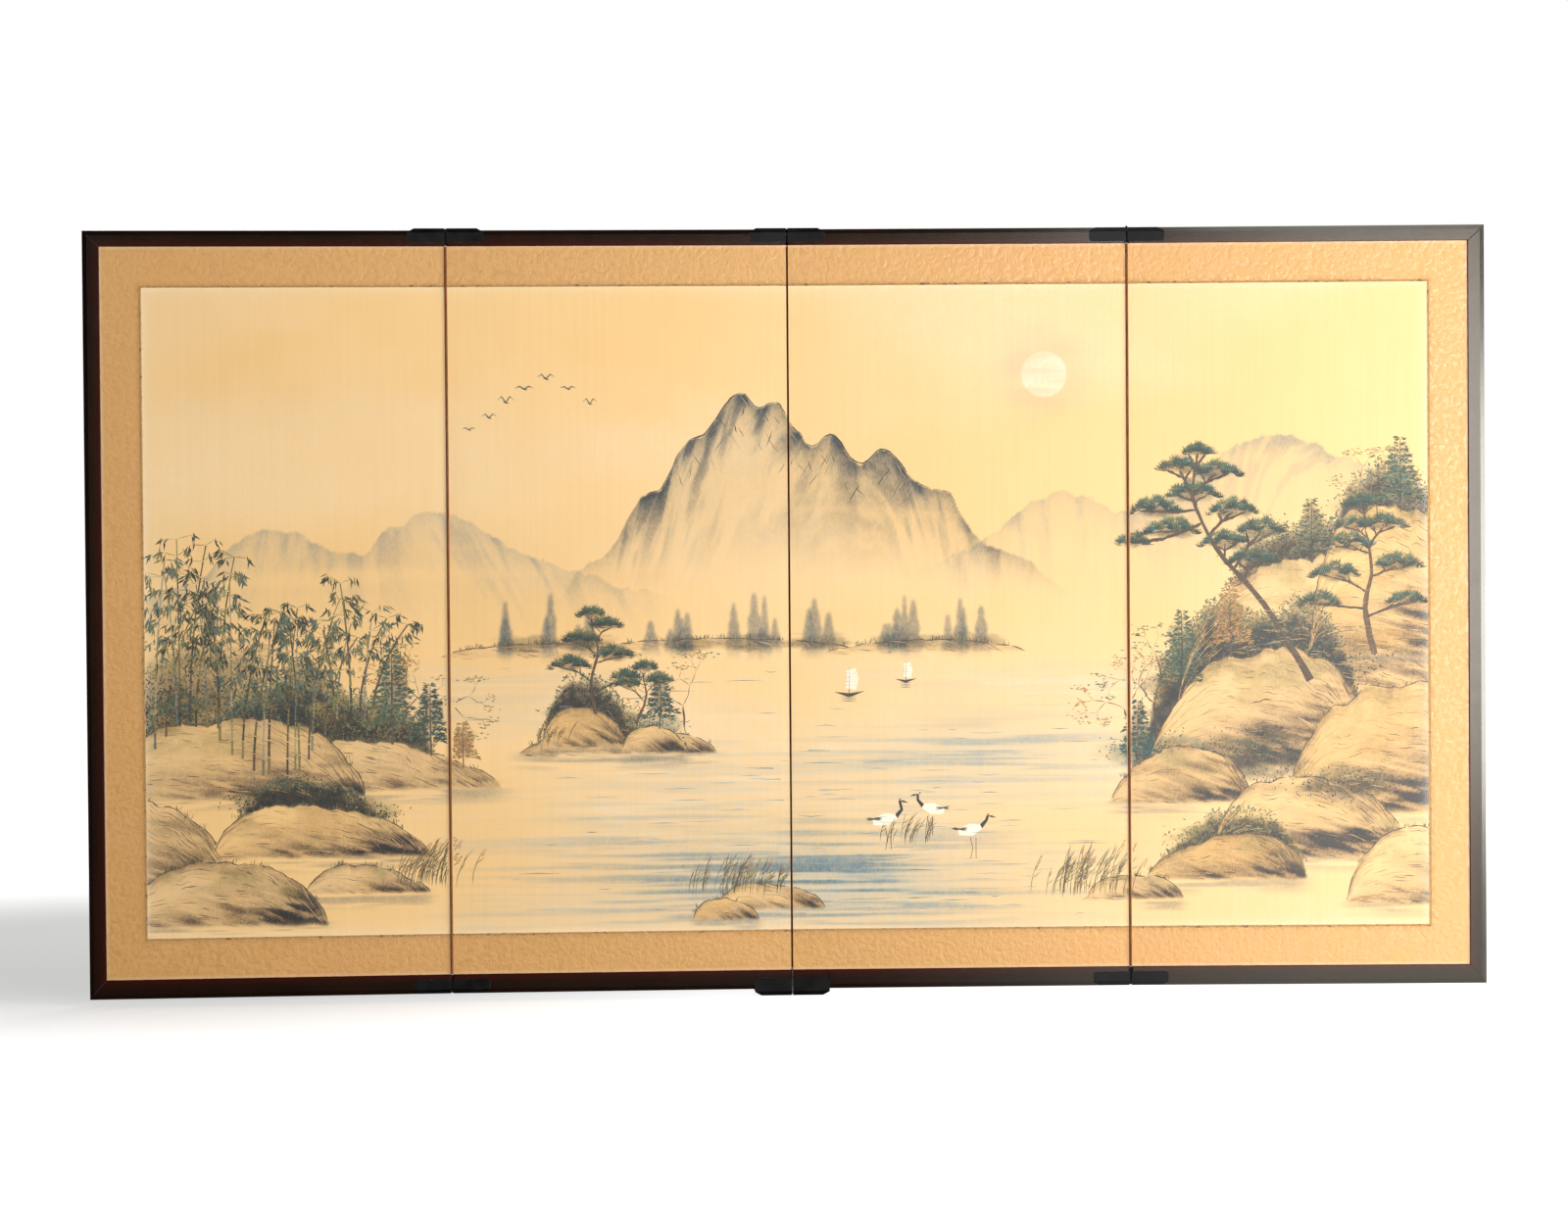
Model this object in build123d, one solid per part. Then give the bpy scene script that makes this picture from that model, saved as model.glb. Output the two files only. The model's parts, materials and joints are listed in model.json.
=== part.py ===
"""Four-panel byobu folding screen: papered lattice panels in a lacquered outer moulding.

Millimetres, +Z up, front faces -Y. The origin is at the middle of the underside.
Every panel is modelled flat in its own frame, with X along the panel from its left
end, Y from the front face of the moulding to the back and Z up from the underside
of the bottom rail. The panels are then stood about their fold axes in a shallow arc.
"""
from build123d import *
import os

# --- leaves and moulding -------------------------------------------------------------
FIELD_HEIGHT = 867.0  # papered field, between the rails
FOLD_PITCH = 407.0  # from one fold line to the next
STILE_WIDTH = 20.0
TOP_RAIL_HEIGHT = 19.0
BOTTOM_RAIL_HEIGHT = 23.0
MOULDING_DEPTH = 21.0
BEVEL_WIDTH = 5.5  # outer bevel, seen from the front
BEVEL_DEPTH = 3.0
EASED_EDGE = 0.8  # small chamfer on the other long edges
FIELD_RECESS = 2.0  # the field lies this far behind the moulding's front face

# --- folds ---------------------------------------------------------------------------
FOLD_GAP = 2.4  # between two rails' ends at a fold
CLOSED_GAP = 0.6  # between the rails of two panels folded onto each other
REST_FOLD = 2.0  # degrees that each fold is bent, so that the screen stands in an arc
FOLD_NOTCH = 1.6  # chamfer on the front corner of a rail's end at a fold
HINGE_TIP_GAP = 0.3  # between the two hinge papers where they meet at the fold's axis

# --- sheets --------------------------------------------------------------------------
SILK_THICKNESS = 0.5
BORDER_WIDTH = 47.0
TRIM_WIDTH = 3.0
TRIM_THICKNESS = 0.3
UNDERPAPER_THICKNESS = 0.5
BACK_PAPER_THICKNESS = 0.5
HINGE_PAPER_THICKNESS = 0.4

# --- wooden core ---------------------------------------------------------------------
CORE_THICKNESS = 14.5
CORE_BAR_WIDTH = 22.0
LATTICE_BAR_WIDTH = 11.0
LATTICE_UPRIGHTS = 3
LATTICE_CROSSBARS = 8
TENON_LENGTH = 7.0
TENON_THICKNESS = 5.0

# --- hidden square nails -------------------------------------------------------------
NAIL_SIDE = 2.4
NAIL_LENGTH = 18.0
NAILS_PER_RAIL = 3
NAILS_PER_STILE = 5
NAIL_MARGIN = 70.0  # from the field's corner to the nearest nail

# --- sheet-metal shoes ---------------------------------------------------------------
SHOE_LENGTH = 44.0
SHOE_SHEET = 1.2
SHOE_LIP = 17.0
SHOE_CORNER_RADIUS = 4.0
SHOE_SLOPE_LENGTH = 8.0  # the far outer corner slopes off
SHOE_SLOPE_HEIGHT = 4.5
FIRST_SHOE_RISE = 2.6  # how far the top shoes stand proud at the first fold
MIDDLE_SHOE_RISE = 1.6
LAST_SHOE_RISE = 0.3
LOOSE_SHOE_LIP = 22.0
LOOSE_SHOE_DROP = 8.0  # how far the two loose shoes hang below their seats
LOOSE_SHOE_CLEARANCE = 0.25

# --- worked out ----------------------------------------------------------------------
HEIGHT = BOTTOM_RAIL_HEIGHT + FIELD_HEIGHT + TOP_RAIL_HEIGHT
FIELD_BOTTOM = BOTTOM_RAIL_HEIGHT
FIELD_TOP = BOTTOM_RAIL_HEIGHT + FIELD_HEIGHT
END_WIDTH = FOLD_PITCH + STILE_WIDTH  # an end panel, from its outer edge to its fold
FRONT_AXIS = -CLOSED_GAP / 2  # Y of a fold axis in front of the moulding
BACK_AXIS = MOULDING_DEPTH + CLOSED_GAP / 2  # and of one behind it
AXIS_OF_FOLD = {1: FRONT_AXIS, 2: BACK_AXIS, 3: FRONT_AXIS}
TOP_SHOE_RISE = {1: FIRST_SHOE_RISE, 2: MIDDLE_SHOE_RISE, 3: LAST_SHOE_RISE}

SILK_FRONT = FIELD_RECESS
SILK_BACK = SILK_FRONT + SILK_THICKNESS
CORE_FRONT = SILK_BACK + UNDERPAPER_THICKNESS
CORE_BACK = CORE_FRONT + CORE_THICKNESS
UNDERPAPER_BACK = CORE_BACK + UNDERPAPER_THICKNESS
FIELD_BACK = UNDERPAPER_BACK + BACK_PAPER_THICKNESS
CORE_MIDDLE = (CORE_FRONT + CORE_BACK) / 2


def block(x, y, z):
    """A box between two X, two Y and two Z values."""
    size = (x[1] - x[0], y[1] - y[0], z[1] - z[0])
    low = Align.MIN
    return Pos(x[0], y[0], z[0]) * Box(*size, align=(low, low, low))


def upright_plate(points, y=(-MOULDING_DEPTH, 2 * MOULDING_DEPTH)):
    """A plate with a given XZ outline, from one Y value to another."""
    outline = Plane.XZ * make_face(Polyline(*points, close=True))
    return Pos(0, y[1], 0) * extrude(outline, amount=y[1] - y[0])


def evenly(count, first, last):
    """Values from first to last, both included."""
    step = (last - first) / (count - 1)
    return [first + step * n for n in range(count)]


def between(count, low, high):
    """Values that divide the space from low to high evenly."""
    step = (high - low) / (count + 1)
    return [low + step * (n + 1) for n in range(count)]


def around(middle, width):
    """The two ends of a width about its middle."""
    return middle - width / 2, middle + width / 2


def group(solids):
    """Separate solids that share one node."""
    return Compound([piece.solid() for piece in solids])


class Panel:
    """One leaf of the screen: where it and its field end, in its own frame.

    left_fold and right_fold are the numbers of its folds, or None at an outer edge.
    """

    def __init__(self, left_fold, right_fold):
        self.left_fold = left_fold
        self.right_fold = right_fold
        self.is_inner = bool(left_fold and right_fold)
        self.pitch = FOLD_PITCH if self.is_inner else END_WIDTH
        self.left = FOLD_GAP / 2 if left_fold else 0.0
        self.right = self.pitch - (FOLD_GAP / 2 if right_fold else 0.0)
        at_left = HINGE_PAPER_THICKNESS if left_fold else STILE_WIDTH
        at_right = HINGE_PAPER_THICKNESS if right_fold else STILE_WIDTH
        self.field = (self.left + at_left, self.right - at_right)
        picture_left = self.field[0] + (0 if left_fold else BORDER_WIDTH)
        picture_right = self.field[1] - (0 if right_fold else BORDER_WIDTH)
        self.picture = (picture_left, picture_right)

    def at_folds(self, shape_for_fold):
        """Place a shape at each fold, given as a function of the fold's number.

        The shape runs along +X from the fold's end, and is mirrored at a right fold.
        """
        placed = []
        if self.left_fold:
            placed.append(Pos(self.left, 0, 0) * shape_for_fold(self.left_fold))
        if self.right_fold:
            shape = mirror(shape_for_fold(self.right_fold), Plane.YZ)
            placed.append(Pos(self.right, 0, 0) * shape)
        return placed


PANELS = {1: Panel(None, 1), 2: Panel(1, 2), 3: Panel(2, 3), 4: Panel(3, None)}
LOOSE_FOLD = 2  # the fold whose two bottom shoes have worked loose


# --- outer moulding ------------------------------------------------------------------
def moulding_section(height, foot=0.0):
    """The YZ section of a rail: inner edge at Z=foot, bevelled outer edge up."""
    points = [
        (0, foot + EASED_EDGE),
        (0, height - BEVEL_WIDTH),
        (BEVEL_DEPTH, height),
        (MOULDING_DEPTH - EASED_EDGE, height),
        (MOULDING_DEPTH, height - EASED_EDGE),
        (MOULDING_DEPTH, foot),
        (EASED_EDGE, foot),
    ]
    return Plane.YZ * make_face(Polyline(*points, close=True))


def moulding_length(height, x):
    """A length of moulding over an X range, bevelled outer edge up."""
    return Pos(x[0], 0, 0) * extrude(moulding_section(height), amount=x[1] - x[0])


def upended(shape, height):
    """The same shape with its outer edge down, at Z=0."""
    return Pos(0, 0, height) * mirror(shape, Plane.XY)


def rail_outline(panel, outer_z, inner_z):
    """A rail's front outline: square at a fold and mitred at a stile."""
    inner_left = panel.left if panel.left_fold else STILE_WIDTH
    inner_right = panel.right if panel.right_fold else panel.pitch - STILE_WIDTH
    return [
        (panel.left, outer_z),
        (panel.right, outer_z),
        (inner_right, inner_z),
        (inner_left, inner_z),
    ]


def fold_notch(fold):
    """The wedge that a rail's front corner loses at a fold."""
    corners = [
        (-FOLD_NOTCH, -FOLD_NOTCH),
        (2 * FOLD_NOTCH, -FOLD_NOTCH),
        (-FOLD_NOTCH, 2 * FOLD_NOTCH),
    ]
    return extrude(make_face(Polyline(*corners, close=True)), amount=HEIGHT)


def top_rail(panel):
    """The top rail, let in for its shoes."""
    rail = moulding_length(TOP_RAIL_HEIGHT, (panel.left, panel.right))
    rail = Pos(0, 0, FIELD_TOP) * rail
    rail &= upright_plate(rail_outline(panel, HEIGHT, FIELD_TOP))
    rail -= group(panel.at_folds(fold_notch))
    rail -= group(panel.at_folds(top_shoe) + rail_nails(panel, FIELD_TOP))
    return rail


def bottom_rail(panel):
    """The bottom rail, let in for its seated or loose shoes."""
    rail = moulding_length(BOTTOM_RAIL_HEIGHT, (panel.left, panel.right))
    rail = upended(rail, BOTTOM_RAIL_HEIGHT)
    rail &= upright_plate(rail_outline(panel, 0, FIELD_BOTTOM))
    rail -= group(panel.at_folds(fold_notch))
    rail -= group(panel.at_folds(bottom_shoe_seat) + rail_nails(panel, FIELD_BOTTOM))
    return rail


def stile(panel):
    """The upright of the moulding on an end panel, mitred to both rails."""
    post = Rot(0, -90, 0) * moulding_length(STILE_WIDTH, (0, HEIGHT))
    post = Pos(STILE_WIDTH, 0, 0) * post
    corners = [(0, 0), (STILE_WIDTH, FIELD_BOTTOM), (STILE_WIDTH, FIELD_TOP), (0, HEIGHT)]
    post &= upright_plate(corners)
    if panel.left_fold:
        post = Pos(panel.pitch, 0, 0) * mirror(post, Plane.YZ)
    for nail in stile_nails(panel):
        post -= nail
    return post


# --- hidden nails --------------------------------------------------------------------
def rail_nails(panel, seam):
    """Square nails across the seam between a core bar and a rail."""
    low, high = panel.field
    y = around(CORE_MIDDLE, NAIL_SIDE)
    z = around(seam, NAIL_LENGTH)
    places = evenly(NAILS_PER_RAIL, low + NAIL_MARGIN, high - NAIL_MARGIN)
    return [block(around(x, NAIL_SIDE), y, z) for x in places]


def stile_nails(panel):
    """Square nails across the seam between the core and the stile, if there is one."""
    if panel.is_inner:
        return []
    seam = panel.field[1] if panel.left_fold else panel.field[0]
    x = around(seam, NAIL_LENGTH)
    y = around(CORE_MIDDLE, NAIL_SIDE)
    places = evenly(NAILS_PER_STILE, FIELD_BOTTOM + NAIL_MARGIN, FIELD_TOP - NAIL_MARGIN)
    return [block(x, y, around(z, NAIL_SIDE)) for z in places]


def frame_nails(panel):
    return rail_nails(panel, FIELD_BOTTOM) + rail_nails(panel, FIELD_TOP) + stile_nails(panel)


# --- wooden core ---------------------------------------------------------------------
def core_opening(panel):
    """The X and Z ranges inside the core frame, which the lattice fills."""
    x = (panel.field[0] + CORE_BAR_WIDTH, panel.field[1] - CORE_BAR_WIDTH)
    z = (FIELD_BOTTOM + CORE_BAR_WIDTH, FIELD_TOP - CORE_BAR_WIDTH)
    return x, z


def lattice_bars(panel):
    """The X ranges of the lattice's uprights and the Z ranges of its crossbars."""
    x, z = core_opening(panel)
    uprights = [around(at, LATTICE_BAR_WIDTH) for at in between(LATTICE_UPRIGHTS, *x)]
    crossbars = [around(at, LATTICE_BAR_WIDTH) for at in between(LATTICE_CROSSBARS, *z)]
    return uprights, crossbars


def lattice_tenons(panel):
    """The tenons on the ends of every lattice bar, as they lie in the core frame."""
    (x_low, x_high), (z_low, z_high) = core_opening(panel)
    uprights, crossbars = lattice_bars(panel)
    y = around(CORE_MIDDLE, TENON_THICKNESS)
    below = (z_low - TENON_LENGTH, z_low)
    above = (z_high, z_high + TENON_LENGTH)
    leftward = (x_low - TENON_LENGTH, x_low)
    rightward = (x_high, x_high + TENON_LENGTH)
    pairs = [(block(x, y, below), block(x, y, above)) for x in uprights]
    pairs += [(block(leftward, y, z), block(rightward, y, z)) for z in crossbars]
    return pairs


def kumiko_lattice(panel):
    """Uprights and crossbars halved over each other, tenoned at both ends."""
    opening_x, opening_z = core_opening(panel)
    uprights, crossbars = lattice_bars(panel)
    tenons = lattice_tenons(panel)
    full = (CORE_FRONT, CORE_BACK)
    bars = []
    for x in uprights:
        bar = block(x, full, opening_z)
        for z in crossbars:
            bar -= block(x, (CORE_MIDDLE, CORE_BACK), z)
        bars.append(bar)
    for z in crossbars:
        bar = block(opening_x, full, z)
        for x in uprights:
            bar -= block(x, (CORE_FRONT, CORE_MIDDLE), z)
        bars.append(bar)
    return [bar + first + second for bar, (first, second) in zip(bars, tenons)]


def core_frame(panel):
    """Two uprights and two crossbars, halved at the corners, mortised and bored."""
    field_z = (FIELD_BOTTOM, FIELD_TOP)
    (x_low, x_high), (z_low, z_high) = core_opening(panel)
    ends_x = [(panel.field[0], x_low), (x_high, panel.field[1])]
    ends_z = [(FIELD_BOTTOM, z_low), (z_high, FIELD_TOP)]
    full = (CORE_FRONT, CORE_BACK)
    bars = []
    for x in ends_x:
        bar = block(x, full, field_z)
        for z in ends_z:
            bar -= block(x, (CORE_MIDDLE, CORE_BACK), z)
        bars.append(bar)
    for z in ends_z:
        bar = block(panel.field, full, z)
        for x in ends_x:
            bar -= block(x, (CORE_FRONT, CORE_MIDDLE), z)
        bars.append(bar)
    cuts = [tenon for pair in lattice_tenons(panel) for tenon in pair] + frame_nails(panel)
    return [bar - group(cuts) for bar in bars]


# --- sheets --------------------------------------------------------------------------
def field_sheet(panel, y):
    """A sheet over the whole field of a panel."""
    return block(panel.field, y, (FIELD_BOTTOM, FIELD_TOP))


def picture_block(panel, y, grow=0.0):
    """The picture's rectangle, grown on its bordered sides only."""
    low, high = panel.picture
    low -= 0 if panel.left_fold else grow
    high += 0 if panel.right_fold else grow
    bottom = FIELD_BOTTOM + BORDER_WIDTH - grow
    top = FIELD_TOP - BORDER_WIDTH + grow
    return block((low, high), y, (bottom, top))


def picture_silk(panel):
    return picture_block(panel, (SILK_FRONT, SILK_BACK))


def border_paper(panel):
    """The border's sheet, cut out where the silk lies."""
    y = (SILK_FRONT, SILK_BACK)
    return field_sheet(panel, y) - picture_block(panel, y)


def border_trim(panel):
    """A narrow strip over the joint between the silk and the border."""
    y = (SILK_FRONT - TRIM_THICKNESS, SILK_FRONT)
    half = TRIM_WIDTH / 2
    return picture_block(panel, y, half) - picture_block(panel, y, -half)


def hinge_paper(fold):
    """The paper on a panel's edge at a fold, with the lip that runs out to the axis.

    The lips of two neighbours are the two sides of one pleat, which bends at the axis.
    """
    middle = -FOLD_GAP / 2
    inner = middle + HINGE_TIP_GAP / 2
    outer = inner + HINGE_PAPER_THICKNESS
    if AXIS_OF_FOLD[fold] == FRONT_AXIS:
        tip, root, far = 0, SILK_FRONT, FIELD_BACK
    else:
        tip, root, far = MOULDING_DEPTH, FIELD_BACK, SILK_FRONT
    corners = [
        (inner, tip),
        (0, root),
        (0, far),
        (HINGE_PAPER_THICKNESS, far),
        (HINGE_PAPER_THICKNESS, root),
        (outer, tip),
    ]
    sheet = extrude(make_face(Polyline(*corners, close=True)), amount=FIELD_HEIGHT)
    return Pos(0, 0, FIELD_BOTTOM - sheet.bounding_box().min.Z) * sheet


# --- sheet-metal shoes ---------------------------------------------------------------
def shoe(height, lip, rise=0.0, clearance=0.0):
    """A channel formed over the outer edge of a rail, along +X from a fold's end.

    Its outside is the moulding's own section, and its web rests on the rail. A rise
    makes the web thicker and a clearance makes the whole shoe longer and deeper.
    """
    section = moulding_section(height, foot=-height)
    length = SHOE_LENGTH + clearance
    hollow = offset(section, -SHOE_SHEET - clearance, kind=Kind.INTERSECTION)
    rail_room = extrude(hollow, amount=length)
    rail_room &= block((0, length), (0, MOULDING_DEPTH), (-height, height - rise))
    channel = extrude(section, amount=length) - rail_room
    lips = Rectangle(length, lip + clearance, align=Align.MIN)
    corner = lips.vertices().sort_by_distance(Vector(length, 0, 0))[0]
    lips = Plane.XZ * fillet(corner, SHOE_CORNER_RADIUS)
    low = height - lip - clearance
    lips = Pos(0, 2 * MOULDING_DEPTH, low) * extrude(lips, amount=3 * MOULDING_DEPTH)
    return channel & lips


def sloped(shoe, height):
    """The shoe with its far outer corner sloped off."""
    wedge = [
        (SHOE_LENGTH - SHOE_SLOPE_LENGTH, height),
        (SHOE_LENGTH, height - SHOE_SLOPE_HEIGHT),
        (2 * SHOE_LENGTH, height - SHOE_SLOPE_HEIGHT),
        (2 * SHOE_LENGTH, 2 * height),
    ]
    return shoe - upright_plate(wedge)


def top_shoe(fold):
    """A shoe over the top rail, standing a little proud of it."""
    height = TOP_RAIL_HEIGHT
    rise = TOP_SHOE_RISE[fold]
    return Pos(0, 0, FIELD_TOP + rise) * sloped(shoe(height, SHOE_LIP, rise), height)


def bottom_shoe(fold):
    """A shoe let in flush under the bottom rail, or one of the deeper, loose pair."""
    height = BOTTOM_RAIL_HEIGHT
    lip = LOOSE_SHOE_LIP if fold == LOOSE_FOLD else SHOE_LIP
    return upended(sloped(shoe(height, lip), height), height)


def bottom_shoe_seat(fold):
    """What the bottom rail loses for its shoe: a loose one has room to slide in."""
    if fold != LOOSE_FOLD:
        return bottom_shoe(fold)
    height = BOTTOM_RAIL_HEIGHT
    seat = shoe(height, LOOSE_SHOE_LIP, clearance=LOOSE_SHOE_CLEARANCE)
    return upended(seat, height)


def bottom_shoes(panel):
    """The bottom shoes of a panel, from its left fold to its right one."""
    return panel.at_folds(bottom_shoe)


def rail_shoes(panel):
    """The shoes that stay put on a panel, top and bottom."""
    shoes = panel.at_folds(top_shoe)
    folds = [fold for fold in (panel.left_fold, panel.right_fold) if fold]
    shoes += [one for one, fold in zip(bottom_shoes(panel), folds) if fold != LOOSE_FOLD]
    return shoes


# --- the whole screen ----------------------------------------------------------------
def hung_on(parent_place, parent_x, own_x, fold, angle):
    """Where a panel stands when its fold axis meets its neighbour's."""
    y = AXIS_OF_FOLD[fold]
    return parent_place * Pos(parent_x, y) * Rot(0, 0, angle) * Pos(-own_x, -y)


places = {2: Rot(0, 0, REST_FOLD / 2)}
places[1] = hung_on(places[2], 0, END_WIDTH, 1, REST_FOLD)
places[3] = hung_on(places[2], FOLD_PITCH, 0, 2, -REST_FOLD)
places[4] = hung_on(places[3], FOLD_PITCH, 0, 3, -REST_FOLD)

nodes = {}
for number, panel in PANELS.items():
    pieces = {
        "core_frame": group(core_frame(panel)),
        "kumiko_lattice": group(kumiko_lattice(panel)),
        "underpaper_front": field_sheet(panel, (SILK_BACK, CORE_FRONT)),
        "underpaper_back": field_sheet(panel, (CORE_BACK, UNDERPAPER_BACK)),
        "picture_silk": picture_silk(panel),
        "border_paper": border_paper(panel),
        "border_trim": border_trim(panel),
        "back_paper": field_sheet(panel, (UNDERPAPER_BACK, FIELD_BACK)),
        "top_rail": top_rail(panel),
        "bottom_rail": bottom_rail(panel),
        "frame_nails": group(frame_nails(panel)),
        "rail_shoes": group(rail_shoes(panel)),
        "hinge_papers": group(panel.at_folds(hinge_paper)),
    }
    if not panel.is_inner:
        pieces["stile"] = stile(panel)
    for name, piece in pieces.items():
        nodes[f"panel_{number}_{name}"] = places[number] * Compound(piece.solids())

slipped = Pos(0, 0, -LOOSE_SHOE_DROP)
nodes["loose_shoe_left"] = places[2] * slipped * bottom_shoes(PANELS[2])[1]
nodes["loose_shoe_right"] = places[3] * slipped * bottom_shoes(PANELS[3])[0]

whole = Compound(list(nodes.values())).bounding_box()
to_origin = Pos(-whole.center().X, -whole.center().Y, -whole.min.Z)

os.makedirs("parts", exist_ok=True)
for name, piece in nodes.items():
    export_step(to_origin * piece, f"parts/{name}.step")

fold_axes = {
    1: places[2] * Pos(0, AXIS_OF_FOLD[1]),
    2: places[2] * Pos(FOLD_PITCH, AXIS_OF_FOLD[2]),
    3: places[3] * Pos(FOLD_PITCH, AXIS_OF_FOLD[3]),
}
for fold, axis in fold_axes.items():
    at = (to_origin * axis).position
    print(f"fold_{fold} axis at {at.X:.4f} {at.Y:.4f}")
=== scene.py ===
"""A four-panel folding screen: a landscape on silk in a gold paper border, in a lacquered frame.

The picture is a generic ink landscape of this script's own. It is worked out in numbers twice: as washes,
a colour at each point of the silk, and as brush strokes, thin pieces lying on the silk.
"""

import functools
import json
import math
from collections import namedtuple

import bpy
import numpy as np
from mathutils import Matrix, Vector


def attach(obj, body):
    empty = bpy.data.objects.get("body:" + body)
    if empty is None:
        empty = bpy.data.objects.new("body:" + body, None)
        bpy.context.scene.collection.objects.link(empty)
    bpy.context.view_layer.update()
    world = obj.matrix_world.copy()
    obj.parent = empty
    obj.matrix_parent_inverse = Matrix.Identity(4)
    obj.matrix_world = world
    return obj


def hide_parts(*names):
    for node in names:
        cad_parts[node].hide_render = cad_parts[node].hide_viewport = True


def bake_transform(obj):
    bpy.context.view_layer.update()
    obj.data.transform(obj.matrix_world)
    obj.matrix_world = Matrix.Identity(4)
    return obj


MM = 0.001

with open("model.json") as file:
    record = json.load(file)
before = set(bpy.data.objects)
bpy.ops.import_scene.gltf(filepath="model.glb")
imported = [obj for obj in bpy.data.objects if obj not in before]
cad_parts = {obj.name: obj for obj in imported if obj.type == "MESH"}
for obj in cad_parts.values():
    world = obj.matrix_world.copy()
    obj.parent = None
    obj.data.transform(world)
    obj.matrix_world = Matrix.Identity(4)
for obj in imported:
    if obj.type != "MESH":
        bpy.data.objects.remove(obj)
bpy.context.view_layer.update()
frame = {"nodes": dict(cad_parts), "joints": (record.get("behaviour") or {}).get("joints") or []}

# ---------------------------------------------------------------- the picture
# On the flat picture lengths are in millimetres: s runs from its left edge, t up from its foot.

PICTURE_WIDTH = 1534.0
PICTURE_HEIGHT = 773.0


def linear(*srgb):
    """A colour written as sRGB bytes, as linear light."""
    value = np.array(srgb) / 255
    return np.where(value <= 0.04045, value / 12.92, ((value + 0.055) / 1.055) ** 2.4)


SILK = linear(251, 207, 137)
INK = linear(24, 23, 19)
WARM_INK = linear(62, 46, 32)
MIST_GREY = linear(176, 163, 134)
SLATE = linear(104, 106, 98)
BLUE_GREY = linear(134, 146, 142)
TEAL = linear(40, 98, 90)
DEEP_TEAL = linear(24, 54, 50)
PINE_GREEN = linear(46, 52, 32)
OLIVE = linear(134, 124, 66)
OCHRE = linear(206, 158, 84)
SAND = linear(232, 194, 138)
EARTH = linear(150, 110, 70)
UMBER = linear(92, 66, 44)
RUST = linear(150, 84, 56)
LAKE_BLUE = linear(134, 174, 184)
SHELL_WHITE = linear(255, 246, 222)


def smooth(x):
    x = np.clip(x, 0, 1)
    return x * x * (3 - 2 * x)


def between(low, high, x):
    """0 below low, 1 above high, and smooth from one to the other."""
    return smooth((x - low) / (high - low))


@functools.lru_cache(maxsize=None)
def random_grid(rows, columns, seed):
    return np.random.default_rng(seed).random((rows, columns))


def grain(s, t, cell_s, cell_t, seed):
    """Smooth noise from 0 to 1, with one random value at each corner of a grid of cells."""
    rows = int(PICTURE_HEIGHT / cell_t) + 5
    columns = int(PICTURE_WIDTH / cell_s) + 5
    values = random_grid(rows, columns, seed)
    a = np.clip(s / cell_s + 1.5, 0, columns - 2)
    b = np.clip(t / cell_t + 1.5, 0, rows - 2)
    i = a.astype(int)
    j = b.astype(int)
    u = smooth(a - i)
    v = smooth(b - j)
    lower = values[j, i] * (1 - u) + values[j, i + 1] * u
    upper = values[j + 1, i] * (1 - u) + values[j + 1, i + 1] * u
    return lower * (1 - v) + upper * v


def cloud(s, t, cell_s, cell_t, seed, octaves=4):
    """Several sizes of grain added up, each half as large and half as strong as the last."""
    total = 0
    for octave in range(octaves):
        finer = 2**octave
        total = total + grain(s, t, cell_s / finer, cell_t / finer, seed + octave) / finer
    return total / (2 - 2 ** (1 - octaves))


def through(points, s):
    """The height at s of a smooth line through the points."""
    knots, heights = np.array(points, float).T
    slopes = np.gradient(heights, knots)
    i = np.clip(np.searchsorted(knots, s) - 1, 0, len(knots) - 2)
    span = knots[i + 1] - knots[i]
    u = np.clip((s - knots[i]) / span, 0, 1)
    ease = smooth(u)
    start = heights[i] + slopes[i] * span * u
    end = heights[i + 1] + slopes[i + 1] * span * (u - 1)
    return start * (1 - ease) + end * ease


class Wash:
    """Paint on the points (s, t) of the silk, as a colour at each point."""

    def __init__(self, s, t, colour=None):
        self.s = s
        self.t = t
        self.colour = np.tile(SILK, (len(s), 1)) if colour is None else colour

    def local(self, box, paint, *details):
        """Paints on the points inside a box ((low s, high s), (low t, high t)) alone."""
        (low_s, high_s), (low_t, high_t) = box
        chosen = (self.s > low_s) & (self.s < high_s) & (self.t > low_t) & (self.t < high_t)
        if chosen.any():
            part = Wash(self.s[chosen], self.t[chosen], self.colour[chosen])
            paint(part, *details)
            self.colour[chosen] = part.colour

    def cover(self, amount, pigment):
        """Lays the pigment over what is there, hiding it by amount."""
        share = np.clip(amount, 0, 1)[:, None]
        self.colour = self.colour * (1 - share) + pigment * share

    def tint(self):
        """The paint as the share of the bare silk's colour that it leaves."""
        return self.colour / SILK


def box_round(s, t, reach_s, reach_t):
    return (s - reach_s, s + reach_s), (t - reach_t, t + reach_t)


# The ridge is a row of points, and the hills fade into mist that is deepest at their foot.
Hills = namedtuple("Hills", "ridge foot mist colour strength seed")
# A rock or a bank. Its number also seeds its unevenness.
Rock = namedtuple("Rock", "middle half foot height squareness lean top shade number")

RANGES = (
    Hills(((-140, 380), (-40, 395), (60, 430), (150, 486), (235, 452), (330, 505), (420, 470), (520, 430),
           (640, 400)), 330, 120, BLUE_GREY, 0.42, 11),
    Hills(((900, 420), (1010, 470), (1090, 520), (1170, 500), (1260, 545), (1340, 590), (1430, 560),
           (1600, 500), (1700, 470)), 360, 150, BLUE_GREY, 0.46, 12),
    Hills(((430, 345), (478, 372), (516, 430), (546, 448), (586, 512), (618, 536), (648, 592), (672, 598),
           (704, 642), (730, 626), (756, 634), (792, 580), (822, 590), (850, 556), (884, 578), (914, 540),
           (962, 520), (1000, 468), (1056, 440), (1110, 392), (1180, 362)), 385, 130, SLATE, 0.95, 13),
)

FAR_SHORE = (
    Rock(470, 120, 330, 16, 2.0, 0.0, SAND, 0.35, 21),
    Rock(690, 150, 338, 13, 2.0, 0.1, SAND, 0.3, 22),
    Rock(930, 120, 332, 15, 2.0, 0.0, SAND, 0.35, 23),
)


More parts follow.
